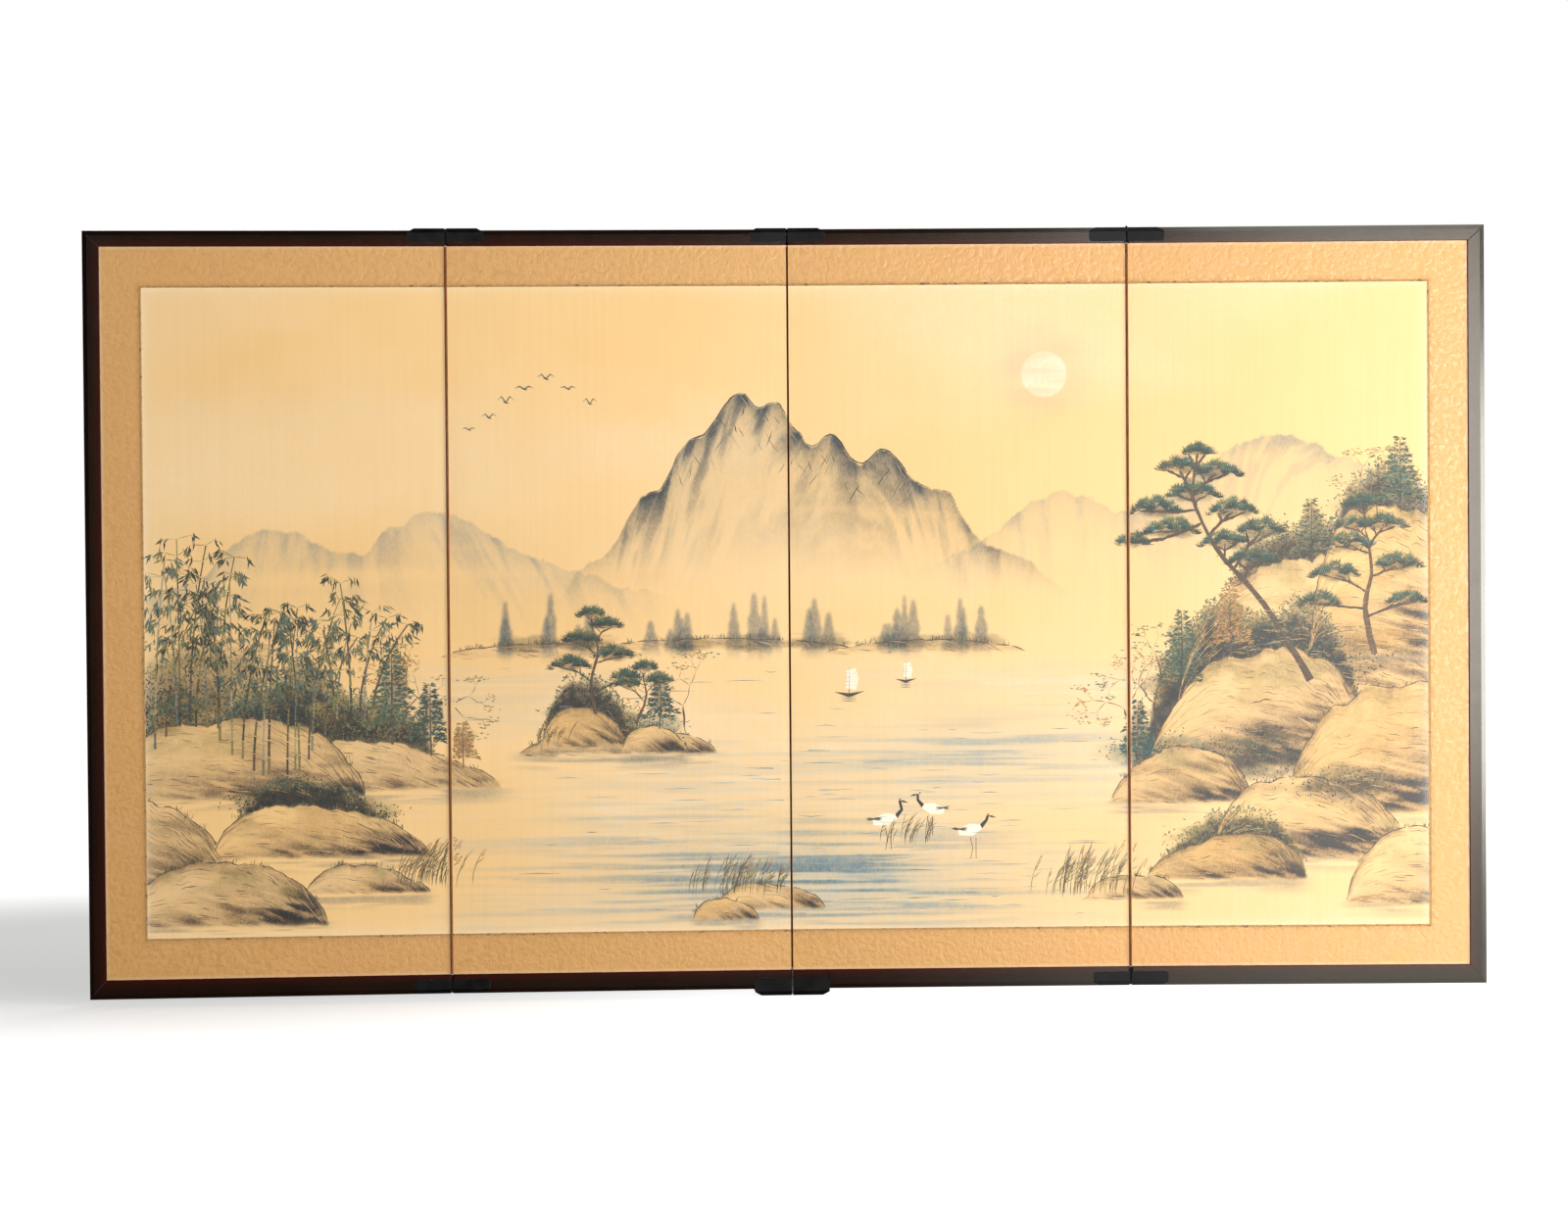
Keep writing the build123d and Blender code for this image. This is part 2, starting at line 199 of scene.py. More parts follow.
def ridge_jitter(s, seed, size):
    """The unevenness of a ridge: rolling, with sharp crags on it."""
    zero = np.zeros_like(s)
    rolling = 2 * cloud(s, zero, 46, 50, seed, 5) - 1
    crags = 0.5 - np.abs(2 * cloud(s, zero, 23, 50, seed + 90, 4) - 1) * 2
    return size * (0.7 * rolling + 0.6 * crags)


def ridge_line(hills, s):
    return through(hills.ridge, s) + ridge_jitter(s, hills.seed, 15)


def paint_range(wash, hills):
    """A range of hills in grey ink: dark along the crest, scored by gullies, lost in mist below."""
    points, foot, mist, colour, strength, seed = hills
    s, t = wash.s, wash.t
    depth = ridge_line(hills, s) - t
    ends = between(points[0][0], points[0][0] + 90, s) * between(points[-1][0], points[-1][0] - 90, s)
    inside = between(0, 3, depth) * between(foot, foot + mist, t) * ends
    slant = s + 1.1 * depth * (2 * grain(s, t * 0, 120, 50, seed + 40) - 1)
    gullies = cloud(slant, t, 15, 70, seed + 20, 3)
    body = np.exp(-np.maximum(depth, 0) / 78)
    crest = np.exp(-np.maximum(depth, 0) / 16)
    folds = between(0.4, 0.64, gullies)
    amount = strength * inside * (0.16 + 0.7 * body * (0.3 + 0.95 * folds) + 0.35 * crest)
    wash.cover(amount * 0.9, colour)
    wash.cover(strength**2 * inside * (0.55 * crest + 0.5 * body * between(0.52, 0.7, gullies)), INK)


def rock_top(s, rock):
    """The height of the rock's uneven outline at s."""
    u = np.clip((s - rock.middle) / rock.half, -1, 1)
    bent = np.clip(u + rock.lean * (1 - u * u), -1, 1)
    dome = np.maximum(1 - np.abs(bent) ** rock.squareness, 0) ** 0.62
    uneven = ridge_jitter(s, rock.number, 2 + rock.height * 0.1)
    return rock.foot + rock.height * dome + uneven * np.minimum(dome * 2, 1)


def paint_rock(wash, rock):
    """A rounded rock or bank: pale above, brushed darker down its shaded side and at its foot."""
    middle, half, foot, height, _, _, top, shade, seed = rock
    s, t = wash.s, wash.t
    line = rock_top(s, rock)
    depth = line - t
    side = (s - middle) / half
    low = foot - height * 0.06 - 5 * (cloud(s, t * 0, 40, 50, seed + 3, 3) - 0.5)
    inside = between(0, 2.2, depth) * between(low, low + 3 + height * 0.08, t)
    inside = inside * between(1.03, 0.97, np.abs(side))
    v = np.clip((t - foot) / np.maximum(line - foot, 4), 0, 1)
    wash.cover(inside * 0.97, SILK * 0.985)
    wash.cover(inside * 0.7 * between(0.1, 0.9, cloud(s, t, 60, 40, seed + 5)), top)
    slant = s + (t - foot) * (0.9 - 1.3 * side)
    brush = cloud(slant, t + side * 30, 24, 6, seed + 7, 4)
    fall = np.clip(0.06 + 0.6 * side + 1.05 * (1 - v) ** 1.5, 0, 1.25)
    fall = fall + 0.35 * between(0.6, 0.78, cloud(slant, t, 70, 30, seed + 13, 2))
    streaks = 0.5 + 0.6 * between(0.32, 0.68, brush)
    blur = 0.7 + 0.6 * cloud(s, t, 30, 24, seed + 15, 3)
    tone = shade * fall * streaks * blur
    wash.cover(inside * np.clip(tone * 0.6, 0, 0.9), EARTH)
    wash.cover(inside * np.clip(tone**2 * 0.55, 0, 0.9), UMBER)
    wash.cover(inside * np.clip(tone**3 * 0.5, 0, 0.92), INK)
    rim = np.exp(-np.maximum(depth, 0) / (3 + height * 0.03))
    wash.cover(inside * shade * rim * between(0.35, 0.62, cloud(s, t, 34, 34, seed + 9, 3)) * 0.9, UMBER)
    moss = between(0.5, 0.75, cloud(s, t, 42, 22, seed + 11)) * between(0.35, 0.9, v)
    wash.cover(inside * shade * moss * 0.5, OLIVE)


def paint_clump(wash, s0, t0, rx, ry, colour, strength, seed):
    """A soft clump of leaves with a ragged edge."""
    s, t = wash.s, wash.t
    reach = np.hypot((s - s0) / rx, (t - t0) / ry)
    edge = 1 - reach + (cloud(s, t, rx * 0.5, ry * 0.5, seed, 5) - 0.5) * 0.95
    density = 0.62 + 0.5 * cloud(s, t, 9, 9, seed + 9, 3)
    wash.cover(strength * between(0, 0.5, edge) * density, colour)
    wash.cover(strength * 0.9 * between(0.25, 0.9, edge) * between(t0 + ry * 0.5, t0 - ry * 0.6, t), INK)


def paint_spire(wash, s0, foot, height, half, colour, strength, seed):
    """A far tree in mist, as one soft upright touch of the brush."""
    s, t = wash.s, wash.t
    v = (t - foot) / height
    width = half * np.clip(1 - v, 0, 1) ** 0.8 * (0.7 + 0.8 * grain(s * 0, t, 40, 7, seed))
    inside = between(-3.5, 1.5, width - np.abs(s - s0)) * between(-0.3, 0.25, v) * between(1.02, 0.9, v)
    wash.cover(strength * inside, colour)


def paint_water(wash):
    """Level streaks of blue and grey on the lake, fading out to bare silk."""
    s, t = wash.s, wash.t
    lake = between(340, 300, t) * between(280, 420, s + 0.35 * t) * between(1260, 1080, s - 0.5 * t)
    streaks = between(0.42, 0.72, cloud(s, t, 150, 5, 301, 3))
    wide = between(0.35, 0.75, cloud(s, t, 260, 46, 305, 3))
    deep = np.exp(-(((s - 770) / 250) ** 2) - ((t - 62) / 62) ** 2)
    bay = np.exp(-(((s - 1010) / 150) ** 2) - ((t - 214) / 34) ** 2)
    wash.cover(lake * (0.35 + 0.5 * streaks) * (0.25 * wide + 1.1 * deep + 0.7 * bay), LAKE_BLUE)
    wash.cover(lake * streaks * (0.85 * deep + 0.35 * bay) * 0.7, SLATE * 0.8)
    wash.cover(lake * 0.16 * wide * between(0.5, 0.8, cloud(s, t, 110, 4, 309, 3)), SHELL_WHITE)


# Groups of far trees: (middle, number of trees, seed).
FAR_TREES = (
    (452, 4, 41),
    (520, 3, 42),
    (640, 6, 43),
    (720, 5, 44),
    (800, 3, 45),
    (905, 6, 46),
    (985, 4, 47),
)

# The rocks, from the farthest to the nearest.
ROCKS = (
    Rock(250, 170, 176, 58, 2.2, 0.2, SAND, 0.7, 61),
    Rock(92, 168, 168, 92, 2.4, -0.1, SAND, 0.8, 62),
    Rock(-10, 120, 60, 110, 2.3, 0.2, SAND, 0.9, 63),
    Rock(208, 128, 96, 62, 2.3, 0.25, OCHRE, 1.0, 64),
    Rock(96, 118, 16, 74, 2.5, 0.1, SAND, 1.05, 65),
    Rock(262, 74, 52, 34, 2.2, 0.3, SAND, 1.05, 66),
    Rock(560, 118, 214, 30, 2.1, -0.1, SAND, 0.85, 67),
    Rock(520, 50, 224, 46, 2.4, 0.1, OCHRE, 1.1, 68),
    Rock(604, 40, 216, 30, 2.3, 0.2, SAND, 1.05, 69),
    Rock(1440, 210, 250, 190, 2.6, 0.12, SAND, 0.85, 71),
    Rock(1512, 120, 330, 176, 2.7, 0.3, OCHRE, 0.9, 72),
    Rock(1330, 132, 196, 136, 2.6, -0.2, SAND, 1.05, 73),
    Rock(1500, 138, 140, 152, 2.5, -0.1, OCHRE, 1.05, 74),
    Rock(1236, 84, 150, 66, 2.3, -0.15, SAND, 1.1, 75),
    Rock(1392, 118, 84, 96, 2.6, 0.15, SAND, 1.1, 76),
    Rock(1290, 96, 58, 52, 2.4, -0.2, OCHRE, 1.1, 77),
    Rock(1530, 96, 28, 88, 2.5, 0.0, SAND, 1.1, 78),
    Rock(1180, 58, 34, 30, 2.2, 0.0, SAND, 1.0, 79),
    Rock(742, 66, 26, 32, 2.3, 0.15, SAND, 1.0, 80),
    Rock(688, 40, 14, 26, 2.3, 0.1, OCHRE, 1.05, 81),
)

# Clumps of leaves, painted before the rock of that number:
# (s, t, half width, half height, colour, strength, seed).
BEHIND = {
    61: ((60, 300, 120, 58, PINE_GREEN, 0.62, 121), (180, 262, 92, 40, DEEP_TEAL, 0.66, 122),
         (20, 262, 70, 46, INK, 0.6, 123), (285, 236, 64, 26, OLIVE, 0.6, 124)),
    64: ((175, 166, 92, 26, PINE_GREEN, 0.7, 125), (270, 148, 46, 18, OLIVE, 0.6, 126)),
    68: ((540, 256, 74, 26, PINE_GREEN, 0.66, 127), (604, 246, 46, 20, TEAL, 0.6, 128)),
    71: ((1392, 452, 104, 40, DEEP_TEAL, 0.55, 129), (1490, 470, 90, 58, PINE_GREEN, 0.55, 130)),
    73: ((1268, 300, 86, 42, PINE_GREEN, 0.68, 131), (1392, 318, 90, 46, INK, 0.5, 132)),
    75: ((1208, 214, 70, 24, TEAL, 0.62, 133), (1320, 206, 70, 34, PINE_GREEN, 0.7, 134)),
    77: ((1290, 108, 80, 22, OLIVE, 0.66, 135), (1430, 170, 80, 24, PINE_GREEN, 0.62, 136)),
}

# A thicket on the far side of a rock.
Thicket = namedtuple("Thicket", "middle half height colour strength seed rock")

THICKETS = (
    Thicket(40, 124, 118, PINE_GREEN, 0.92, 141, 61),
    Thicket(160, 104, 96, DEEP_TEAL, 0.86, 142, 61),
    Thicket(262, 84, 60, OLIVE, 0.84, 143, 61),
    Thicket(536, 72, 44, PINE_GREEN, 0.88, 144, 68),
    Thicket(1400, 110, 46, PINE_GREEN, 0.66, 145, 71),
    Thicket(1490, 70, 58, DEEP_TEAL, 0.7, 146, 72),
    Thicket(1270, 92, 84, PINE_GREEN, 0.92, 147, 73),
    Thicket(1372, 84, 62, DEEP_TEAL, 0.82, 148, 73),
    Thicket(1300, 84, 34, OLIVE, 0.84, 149, 77),
    Thicket(196, 90, 34, PINE_GREEN, 0.86, 150, 64),
)

GREENS = (PINE_GREEN, TEAL, DEEP_TEAL, OLIVE)
TEALS = (TEAL, DEEP_TEAL, PINE_GREEN)
WARMS = (RUST, EARTH, OLIVE, OCHRE)

# The colours of a pine's pad, from its lowest row up.
PAD_COLOURS = ((INK, PINE_GREEN, DEEP_TEAL), (PINE_GREEN, DEEP_TEAL, TEAL), (TEAL, PINE_GREEN, OLIVE))

# A pine: its trunk is a row of points, and its pads are (s, t, half width).
Pine = namedtuple("Pine", "trunk half pads seed")

PINES = (
    Pine(((534, 262), (526, 300), (540, 338), (530, 366)), 2.4,
         ((504, 316, 24), (556, 328, 24), (518, 346, 24), (546, 364, 20), (570, 302, 18), (530, 378, 16)),
         711),
    Pine(((582, 250), (596, 282), (590, 308)), 1.8,
         ((572, 294, 15), (608, 298, 17), (592, 314, 15)),
         712),
    Pine(((1392, 296), (1366, 338), (1338, 390), (1298, 428), (1268, 468), (1250, 516)), 5.0,
         ((1226, 470, 34), (1290, 456, 30), (1206, 496, 32), (1252, 514, 34), (1322, 434, 32),
          (1280, 540, 30), (1236, 546, 28), (1334, 470, 32), (1180, 458, 22), (1300, 494, 30),
          (1258, 566, 20)),
         713),
    Pine(((1468, 326), (1454, 382), (1468, 428), (1458, 474)), 4.0,
         ((1422, 418, 30), (1496, 428, 30), (1440, 452, 32), (1480, 476, 28), (1456, 502, 24),
          (1404, 384, 26), (1508, 386, 24), (1446, 476, 24)),
         714),
)

# A layered tree: (place along the picture, the rock it stands on, height, half width, colours, seed).
LAYERED_TREES = (
    (292, 61, 122, 27, GREENS, 731),
    (338, 61, 88, 21, TEALS, 732),
    (376, 61, 56, 15, WARMS, 733),
    (610, 69, 66, 17, TEALS, 734),
    (1236, 73, 108, 25, GREENS, 735),
    (1296, 73, 92, 21, WARMS, 736),
    (1186, 75, 80, 19, TEALS, 737),
    (1394, 71, 80, 19, (SLATE, PINE_GREEN, OLIVE), 738),
    (1500, 72, 92, 22, GREENS, 739),
)


def ground(s, number):
    """The height of the top of the rock of that number at s."""
    return rock_top(s, next(rock for rock in ROCKS if rock.number == number))


def ground_at(s, number):
    return float(ground(np.array([s]), number)[0])


def thickets_on(rock):
    return [thicket for thicket in THICKETS if thicket.rock == rock.number]


def thicket_crown(s, thicket):
    dome = np.clip(1 - ((s - thicket.middle) / thicket.half) ** 2, 0, 1) ** 0.5
    uneven = 0.45 + 0.9 * cloud(s, s * 0, 34, 50, thicket.seed, 4)
    return ground(s, thicket.rock) + thicket.height * dome * uneven


def paint_thicket(wash, thicket):
    """A mass of foliage over a rock's top: loose and pale above, nearly black where it meets the rock."""
    s0, half, _, colour, strength, seed, number = thicket
    s, t = wash.s, wash.t
    foot = ground(s, number)
    crown = thicket_crown(s, thicket)
    tufts = cloud(s, t, 20, 14, seed + 5, 4)
    depth = crown - t + 26 * (tufts - 0.5)
    inside = between(0, 13, depth) * between(foot - 8, foot - 2, t) * between(1, 0.8, np.abs(s - s0) / half)
    low = between(0.05, 0.8, np.clip((crown - t) / np.maximum(crown - foot, 6), 0, 1))
    touches = 0.55 + 0.6 * between(0.3, 0.7, cloud(s, t, 7, 6, seed + 9, 3))
    wash.cover(strength * inside * touches * (0.5 + 0.5 * low), colour)
    wash.cover(strength * inside * low**0.6 * (0.72 + 0.4 * touches), INK)
    wash.cover(0.45 * strength * inside * (1 - low) * between(0.5, 0.72, tufts), OCHRE)


def thicket_leaves(brush, thicket):
    """Dabs over a thicket: dark low down, and in its own colours above."""
    rng = np.random.default_rng(thicket.seed + 900)
    count = int(thicket.half * thicket.height * 0.14)
    s = thicket.middle + thicket.half * np.clip(rng.normal(0, 0.45, count), -0.95, 0.95)
    foot = ground(s, thicket.rock)
    crown = thicket_crown(s, thicket)
    rise = rng.random(count) ** 0.8
    for k in range(count):
        tones = (OLIVE, TEAL) if rise[k] > 0.6 else (INK, WARM_INK)
        t = foot[k] + (crown[k] - foot[k]) * rise[k]
        angle = rng.uniform(0, math.pi)
        length = rng.uniform(2.2, 5.2)
        half = rng.uniform(0.55, 1.05)
        brush.leaf(s[k], t, angle, length, half, mixed(rng, thicket.colour, *tones))


MOON = (1074, 664)
MOON_RADIUS = 27


def paint_sky(wash):
    """Uneven gold ground, and a pale moon with a soft grey ring round it."""
    s, t = wash.s, wash.t
    wash.cover(0.2 * between(0.35, 0.8, cloud(s, t, 420, 160, 401)), SHELL_WHITE)
    wash.cover(0.13 * between(0.45, 0.9, cloud(s, t, 520, 240, 405)), OCHRE)
    moon = np.hypot(s - MOON[0], t - MOON[1])
    veil = between(0.35, 0.7, cloud(s, t, 90, 12, 407, 3))
    ring = np.exp(-((np.maximum(moon - MOON_RADIUS, 0) / 30) ** 2))
    wash.cover(0.3 * ring * (0.6 + 0.4 * veil), MIST_GREY)
    wash.cover((0.5 - 0.22 * veil) * between(MOON_RADIUS + 1, MOON_RADIUS - 0.5, moon), SHELL_WHITE)


def paint_mist(wash):
    """A level band of bare silk across the hills' feet."""
    band = between(0.5, 0.8, cloud(wash.s, wash.t, 380, 34, 411, 3))
    wash.cover(0.6 * band * between(360, 420, wash.t) * between(600, 520, wash.t), SILK)


def paint_far_trees(wash):
    """Clusters of far trees, as upright touches of thin ink over the far shore."""
    for middle, count, seed in FAR_TREES:
        rng = np.random.default_rng(seed)
        for _ in range(count):
            place = middle + rng.normal(0, 20)
            height = rng.uniform(26, 72)
            half = rng.uniform(4.5, 9.5)
            box = ((place - 14, place + 14), (315, 410))
            wash.local(box, paint_spire, place, 338, height, half, SLATE, 0.7, int(rng.integers(1e6)))
        box = ((middle - 90, middle + 90), (315, 380))
        wash.local(box, paint_clump, middle, 346, 48, 12, PINE_GREEN, 0.5, seed + 7)


def paint_reflection(wash, rock):
    """The dark water under a rock's foot."""
    s, t = wash.s, wash.t
    near = between(18, 0, np.abs(t - rock.foot + 6))
    near = near * between(1.2, 0.8, np.abs(s - rock.middle) / rock.half)
    wash.cover(0.5 * near * between(0.38, 0.66, cloud(s, t, 70, 4, rock.number + 50, 3)), SLATE)


def paint_rocks(wash):
    """The rocks from the farthest to the nearest, each after the foliage behind it."""
    for rock in ROCKS:
        for clump in BEHIND.get(rock.number, ()):
            at, level, reach, rise = clump[:4]
            wash.local(box_round(at, level, 1.6 * reach, 1.6 * rise), paint_clump, *clump)
        for thicket in thickets_on(rock):
            sides = (thicket.middle - thicket.half, thicket.middle + thicket.half)
            levels = (rock.foot - 10, rock.foot + rock.height + 1.6 * thicket.height)
            wash.local((sides, levels), paint_thicket, thicket)
        sides = (rock.middle - 1.25 * rock.half, rock.middle + 1.25 * rock.half)
        wash.local((sides, (rock.foot - 30, rock.foot + 20)), paint_reflection, rock)
        wash.local((sides, (rock.foot - 30, rock.foot + rock.height * 1.5)), paint_rock, rock)


def paint_trees(wash):
    """The soft ground of leaf colour under each tree's strokes."""
    for tree in PINES:
        for at, top, reach in tree.pads:
            clump = (at, top + reach * 0.16, reach * 0.95, reach * 0.34, PINE_GREEN, 0.62, tree.seed)
            wash.local(box_round(at, top, 1.6 * reach, reach), paint_clump, *clump)
    for place, number, tall, wide, colours, seed in LAYERED_TREES:
        middle = ground_at(place, number) + tall * 0.5
        clump = (place, middle, wide * 0.8, tall * 0.42, colours[1], 0.6, seed + 60)
        wash.local(box_round(place, middle, 1.6 * wide, 0.7 * tall), paint_clump, *clump)


def paint_picture(s, t):
    """The whole picture's washes, from the sky and far hills to the rocks in front."""
    wash = Wash(s, t)
    whole_width = (-1, PICTURE_WIDTH + 1)
    paint_sky(wash)
    for hills in RANGES:
        sides = (hills.ridge[0][0] - 5, hills.ridge[-1][0] + 5)
        wash.local((sides, (hills.foot - 5, PICTURE_HEIGHT)), paint_range, hills)
    wash.local((whole_width, (350, 610)), paint_mist)
    for shore in FAR_SHORE:
        wash.local(((300, 1100), (310, 370)), paint_rock, shore)
    paint_far_trees(wash)
    wash.local((whole_width, (-1, 345)), paint_water)
    paint_rocks(wash)
    paint_trees(wash)
    # Painted highlight: a pale rim along the silk's edges, for its rounded edge catching the light.
    edge = np.minimum(np.minimum(s, PICTURE_WIDTH - s), np.minimum(t, PICTURE_HEIGHT - t))
    wash.cover(0.4 * np.exp(-edge / 5), SHELL_WHITE)
    return wash.tint()


class Brush:
    """Brush strokes on the picture, each a line of stations with a half width and a colour."""

    def __init__(self):
        self.strokes = []

    def line(self, points, half_widths, colour):
        self.strokes.append((np.array(points, float), np.array(half_widths, float), np.array(colour)))

    def leaf(self, s, t, angle, length, half, colour):
        """One short touch, pointed at both ends."""
        reach = np.array([math.cos(angle), math.sin(angle)]) * length
        start = np.array([s, t])
        self.line([start, start + reach * 0.45, start + reach], [0.12, half, 0.1], colour)

    def drawn(self, points, half, colour, rng, shake, station):
        """A long line, thick and thin as a loaded brush makes it."""
        points = np.array(points, float)
        steps = np.hypot(*np.diff(points, axis=0).T)
        along = np.concatenate([[0], np.cumsum(steps)])
        count = max(4, int(along[-1] / station))
        where = np.linspace(0, along[-1], count)
        line = np.stack([np.interp(where, along, points[:, k]) for k in (0, 1)], axis=1)
        line[1:-1] += rng.normal(0, shake, (count - 2, 2))
        press = half * (0.55 + 0.75 * rng.random(count))
        press[0] = press[-1] = half * 0.2
        self.line(line, press, colour)


def mixed(rng, *pigments):
    """A colour somewhere between two of the pigments."""
    first, second = rng.choice(len(pigments), 2)
    share = rng.random()
    return pigments[first] * share + pigments[second] * (1 - share)


def outline_ranges(brush):
    """Broken ink lines along the crests and down the gullies of the nearest hills."""
    for hills in RANGES:
        points, foot, mist = hills[:3]
        if hills.strength < 0.6:
            continue
        rng = np.random.default_rng(hills.seed)
        s = points[0][0] + 30.0
        while s < points[-1][0] - 60:
            reach = rng.uniform(14, 60)
            along = np.linspace(s, s + reach, 8)
            crest = ridge_line(hills, along) - 0.6
            high = between(foot + mist * 0.8, foot + mist * 1.5, float(crest.mean()))
            if high > 0.25:
                path = np.stack([along, crest], axis=1)
                brush.drawn(path, 0.75 * high, mixed(rng, SLATE, INK), rng, 0.2, 5)
            s += reach * rng.uniform(0.8, 1.3)
        for _ in range(150):
            at = rng.uniform(points[1][0], points[-2][0])
            top = float(ridge_line(hills, np.array([at]))[0]) - rng.uniform(2, 44)
            if top < foot + mist * 1.1:
                continue
            slope = rng.choice([-1, 1]) * rng.uniform(0.35, 0.9)
            fall = rng.uniform(8, 26)
            down = [(at + slope * k * fall / 3, top - k * fall / 3) for k in range(4)]
            brush.drawn(down, rng.uniform(0.3, 0.6), mixed(rng, SLATE, INK, MIST_GREY), rng, 0.6, 5)


def outline_rock(brush, rock):
    """The rock's edge in ink, its cracks, and the short strokes that model its side."""
    middle, half, foot = rock[:3]
    rng = np.random.default_rng(rock.number + 500)
    s = middle - half * 0.99
    while s < middle + half * 0.99:
        reach = rng.uniform(16, 52)
        along = np.linspace(s, min(s + reach, middle + half * 0.995), 9)
        edge = np.stack([along, rock_top(along, rock) - 0.4], axis=1)
        brush.drawn(edge, 0.62, mixed(rng, WARM_INK, UMBER), rng, 0.25, 4)
        s += reach * rng.uniform(0.85, 1.25)
    for _ in range(int(half * rock.height / 42)):
        u = rng.uniform(-0.95, 0.95)
        rise = 1 - rng.random() ** 1.3
        span = rng.uniform(6, 26) / half
        along = middle + half * np.linspace(u - span / 2, u + span / 2, 5)
        line = rock_top(along, rock)
        path = foot + (line - foot) * rise - np.linspace(0, 1, 5) * (2 + 9 * u * (u > 0))
        dark = 0.1 + 0.55 * (1 - rise) + 0.45 * u
        colour = mixed(rng, WARM_INK, UMBER, INK) if rng.random() < dark else mixed(rng, EARTH, SAND, OCHRE)
        if path.min() > foot - 2:
            brush.drawn(np.stack([along, path], axis=1), rng.uniform(0.16, 0.42), colour, rng, 0.25, 5)
    for _ in range(int(half / 6)):
        at = middle + half * rng.uniform(-0.96, 0.96)
        line = float(rock_top(np.array([at]), rock)[0])
        for _ in range(rng.integers(3, 8)):
            angle = math.pi / 2 + rng.normal(0, 0.4)
            root = at + rng.normal(0, 2.5)
            length = rng.uniform(3, 8.5)
            brush.leaf(root, line - 1.5, angle, length, 0.35, mixed(rng, OLIVE, PINE_GREEN, UMBER))


def uncovered(strokes, rocks):
    """The strokes without the parts that the rocks cover."""
    points = np.concatenate([stroke[0] for stroke in strokes])
    hidden = np.zeros(len(points), bool)
    for rock in rocks:
        beside = np.abs(points[:, 0] - rock.middle) < rock.half
        below = points[:, 1] < rock_top(points[:, 0], rock) - 1
        hidden |= beside & below & (points[:, 1] > rock.foot)
    kept = []
    start = 0
    for path, half_widths, colour in strokes:
        seen = ~hidden[start : start + len(path)]
        start += len(path)
        if seen.all() or (len(path) > 3 and seen.sum() > 2):
            kept.append((path[seen], half_widths[seen], colour))
    return kept


def draw_rocks(brush):
    """The rocks from the farthest to the nearest, each with the leaves behind it."""
    for number, rock in enumerate(ROCKS):
        behind = Brush()
        for at, level, reach, rise, colour, _, seed in BEHIND.get(rock.number, ()):
            leaves(behind, at, level, reach, rise, colour, seed)
        for thicket in thickets_on(rock):
            thicket_leaves(behind, thicket)
        if behind.strokes:
            brush.strokes += uncovered(behind.strokes, ROCKS[number:])
        outline = Brush()
        outline_rock(outline, rock)
        brush.strokes += uncovered(outline.strokes, ROCKS[number + 1 :])


LEAF_SIZE = 2.6


def leaves(brush, s0, t0, rx, ry, colour, seed):
    """Small dabs over a clump of leaves, darkest low down."""
    rng = np.random.default_rng(seed + 900)
    for _ in range(int(rx * ry * 0.13)):
        u, v = rng.normal(0, 0.48, 2)
        if u * u + v * v > 1.25:
            continue
        light = mixed(rng, colour, OLIVE, TEAL) if v > 0.2 else mixed(rng, colour, INK, WARM_INK)
        angle = rng.uniform(0, math.pi)
        length = LEAF_SIZE * rng.uniform(0.7, 1.7)
        half = LEAF_SIZE * rng.uniform(0.2, 0.36)
        brush.leaf(s0 + u * rx, t0 + v * ry, angle, length, half, light)


def branch(brush, s, t, angle, length, half, rng, depth, tips, colours):
    """A forking bough. The ends of its twigs are added to tips."""
    points = [(s, t)]
    for _ in range(4):
        angle += rng.normal(0, 0.2)
        s += math.cos(angle) * length / 4
        t += math.sin(angle) * length / 4
        points.append((s, t))
    brush.drawn(points, half, mixed(rng, *colours), rng, 0.25, 4)
    if depth == 0:
        tips.append((s, t))
        return
    for turn in (-1, 1):
        spread = turn * rng.uniform(0.3, 0.85)
        shorter = length * rng.uniform(0.6, 0.85)
        branch(brush, s, t, angle + spread, shorter, half * 0.62, rng, depth - 1, tips, colours)


def airy_tree(brush, s, foot, height, seed, leaf, bark):
    """A slender tree with flat layers of small leaves at the ends of its twigs."""
    rng = np.random.default_rng(seed)
    tips = []
    lean = math.pi / 2 + rng.normal(0, 0.12)
    branch(brush, s, foot, lean, height * 0.36, height * 0.011, rng, 4, tips, bark)
    for at, top in tips:
        for _ in range(9):
            root = (at + rng.normal(0, 6), top + rng.normal(0, 2.4))
            angle = rng.uniform(-0.4, 0.4) + (rng.random() < 0.5) * math.pi
            brush.leaf(*root, angle, rng.uniform(2.5, 5.5), rng.uniform(0.5, 0.95), mixed(rng, *leaf))


def layered_tree(brush, s, foot, height, half, seed, leaf, bark):
    """A tree in flat layers of small touches, each layer wider than the one above it."""
    rng = np.random.default_rng(seed)
    sway = rng.normal(0, 0.02 * height)
    trunk = [(s, foot), (s + sway, foot + height * 0.5), (s + sway * 0.6, foot + height * 0.96)]
    brush.line(trunk, [height * 0.012, height * 0.009, 0.3], mixed(rng, *bark))
    layers = max(5, int(height / 8))
    for k in range(layers):
        rise = (k + 0.4) / layers
        reach = 2 + half * (1 - rise) ** 0.8 * rng.uniform(0.7, 1.15)
        level = foot + height * (0.2 + 0.8 * rise)
        middle = s + sway * min(2 * rise, 1) + rng.normal(0, 0.08 * reach)
        for _ in range(int(reach * 4.2)):
            u = rng.uniform(-1, 1)
            at = (middle + u * reach, level - 0.16 * reach * u * u + rng.normal(0, 1.4))
            angle = rng.uniform(-0.55, 0.55) + math.pi * (u < 0)
            brush.leaf(*at, angle, rng.uniform(2.8, 6), rng.uniform(0.5, 1.05), mixed(rng, *leaf))


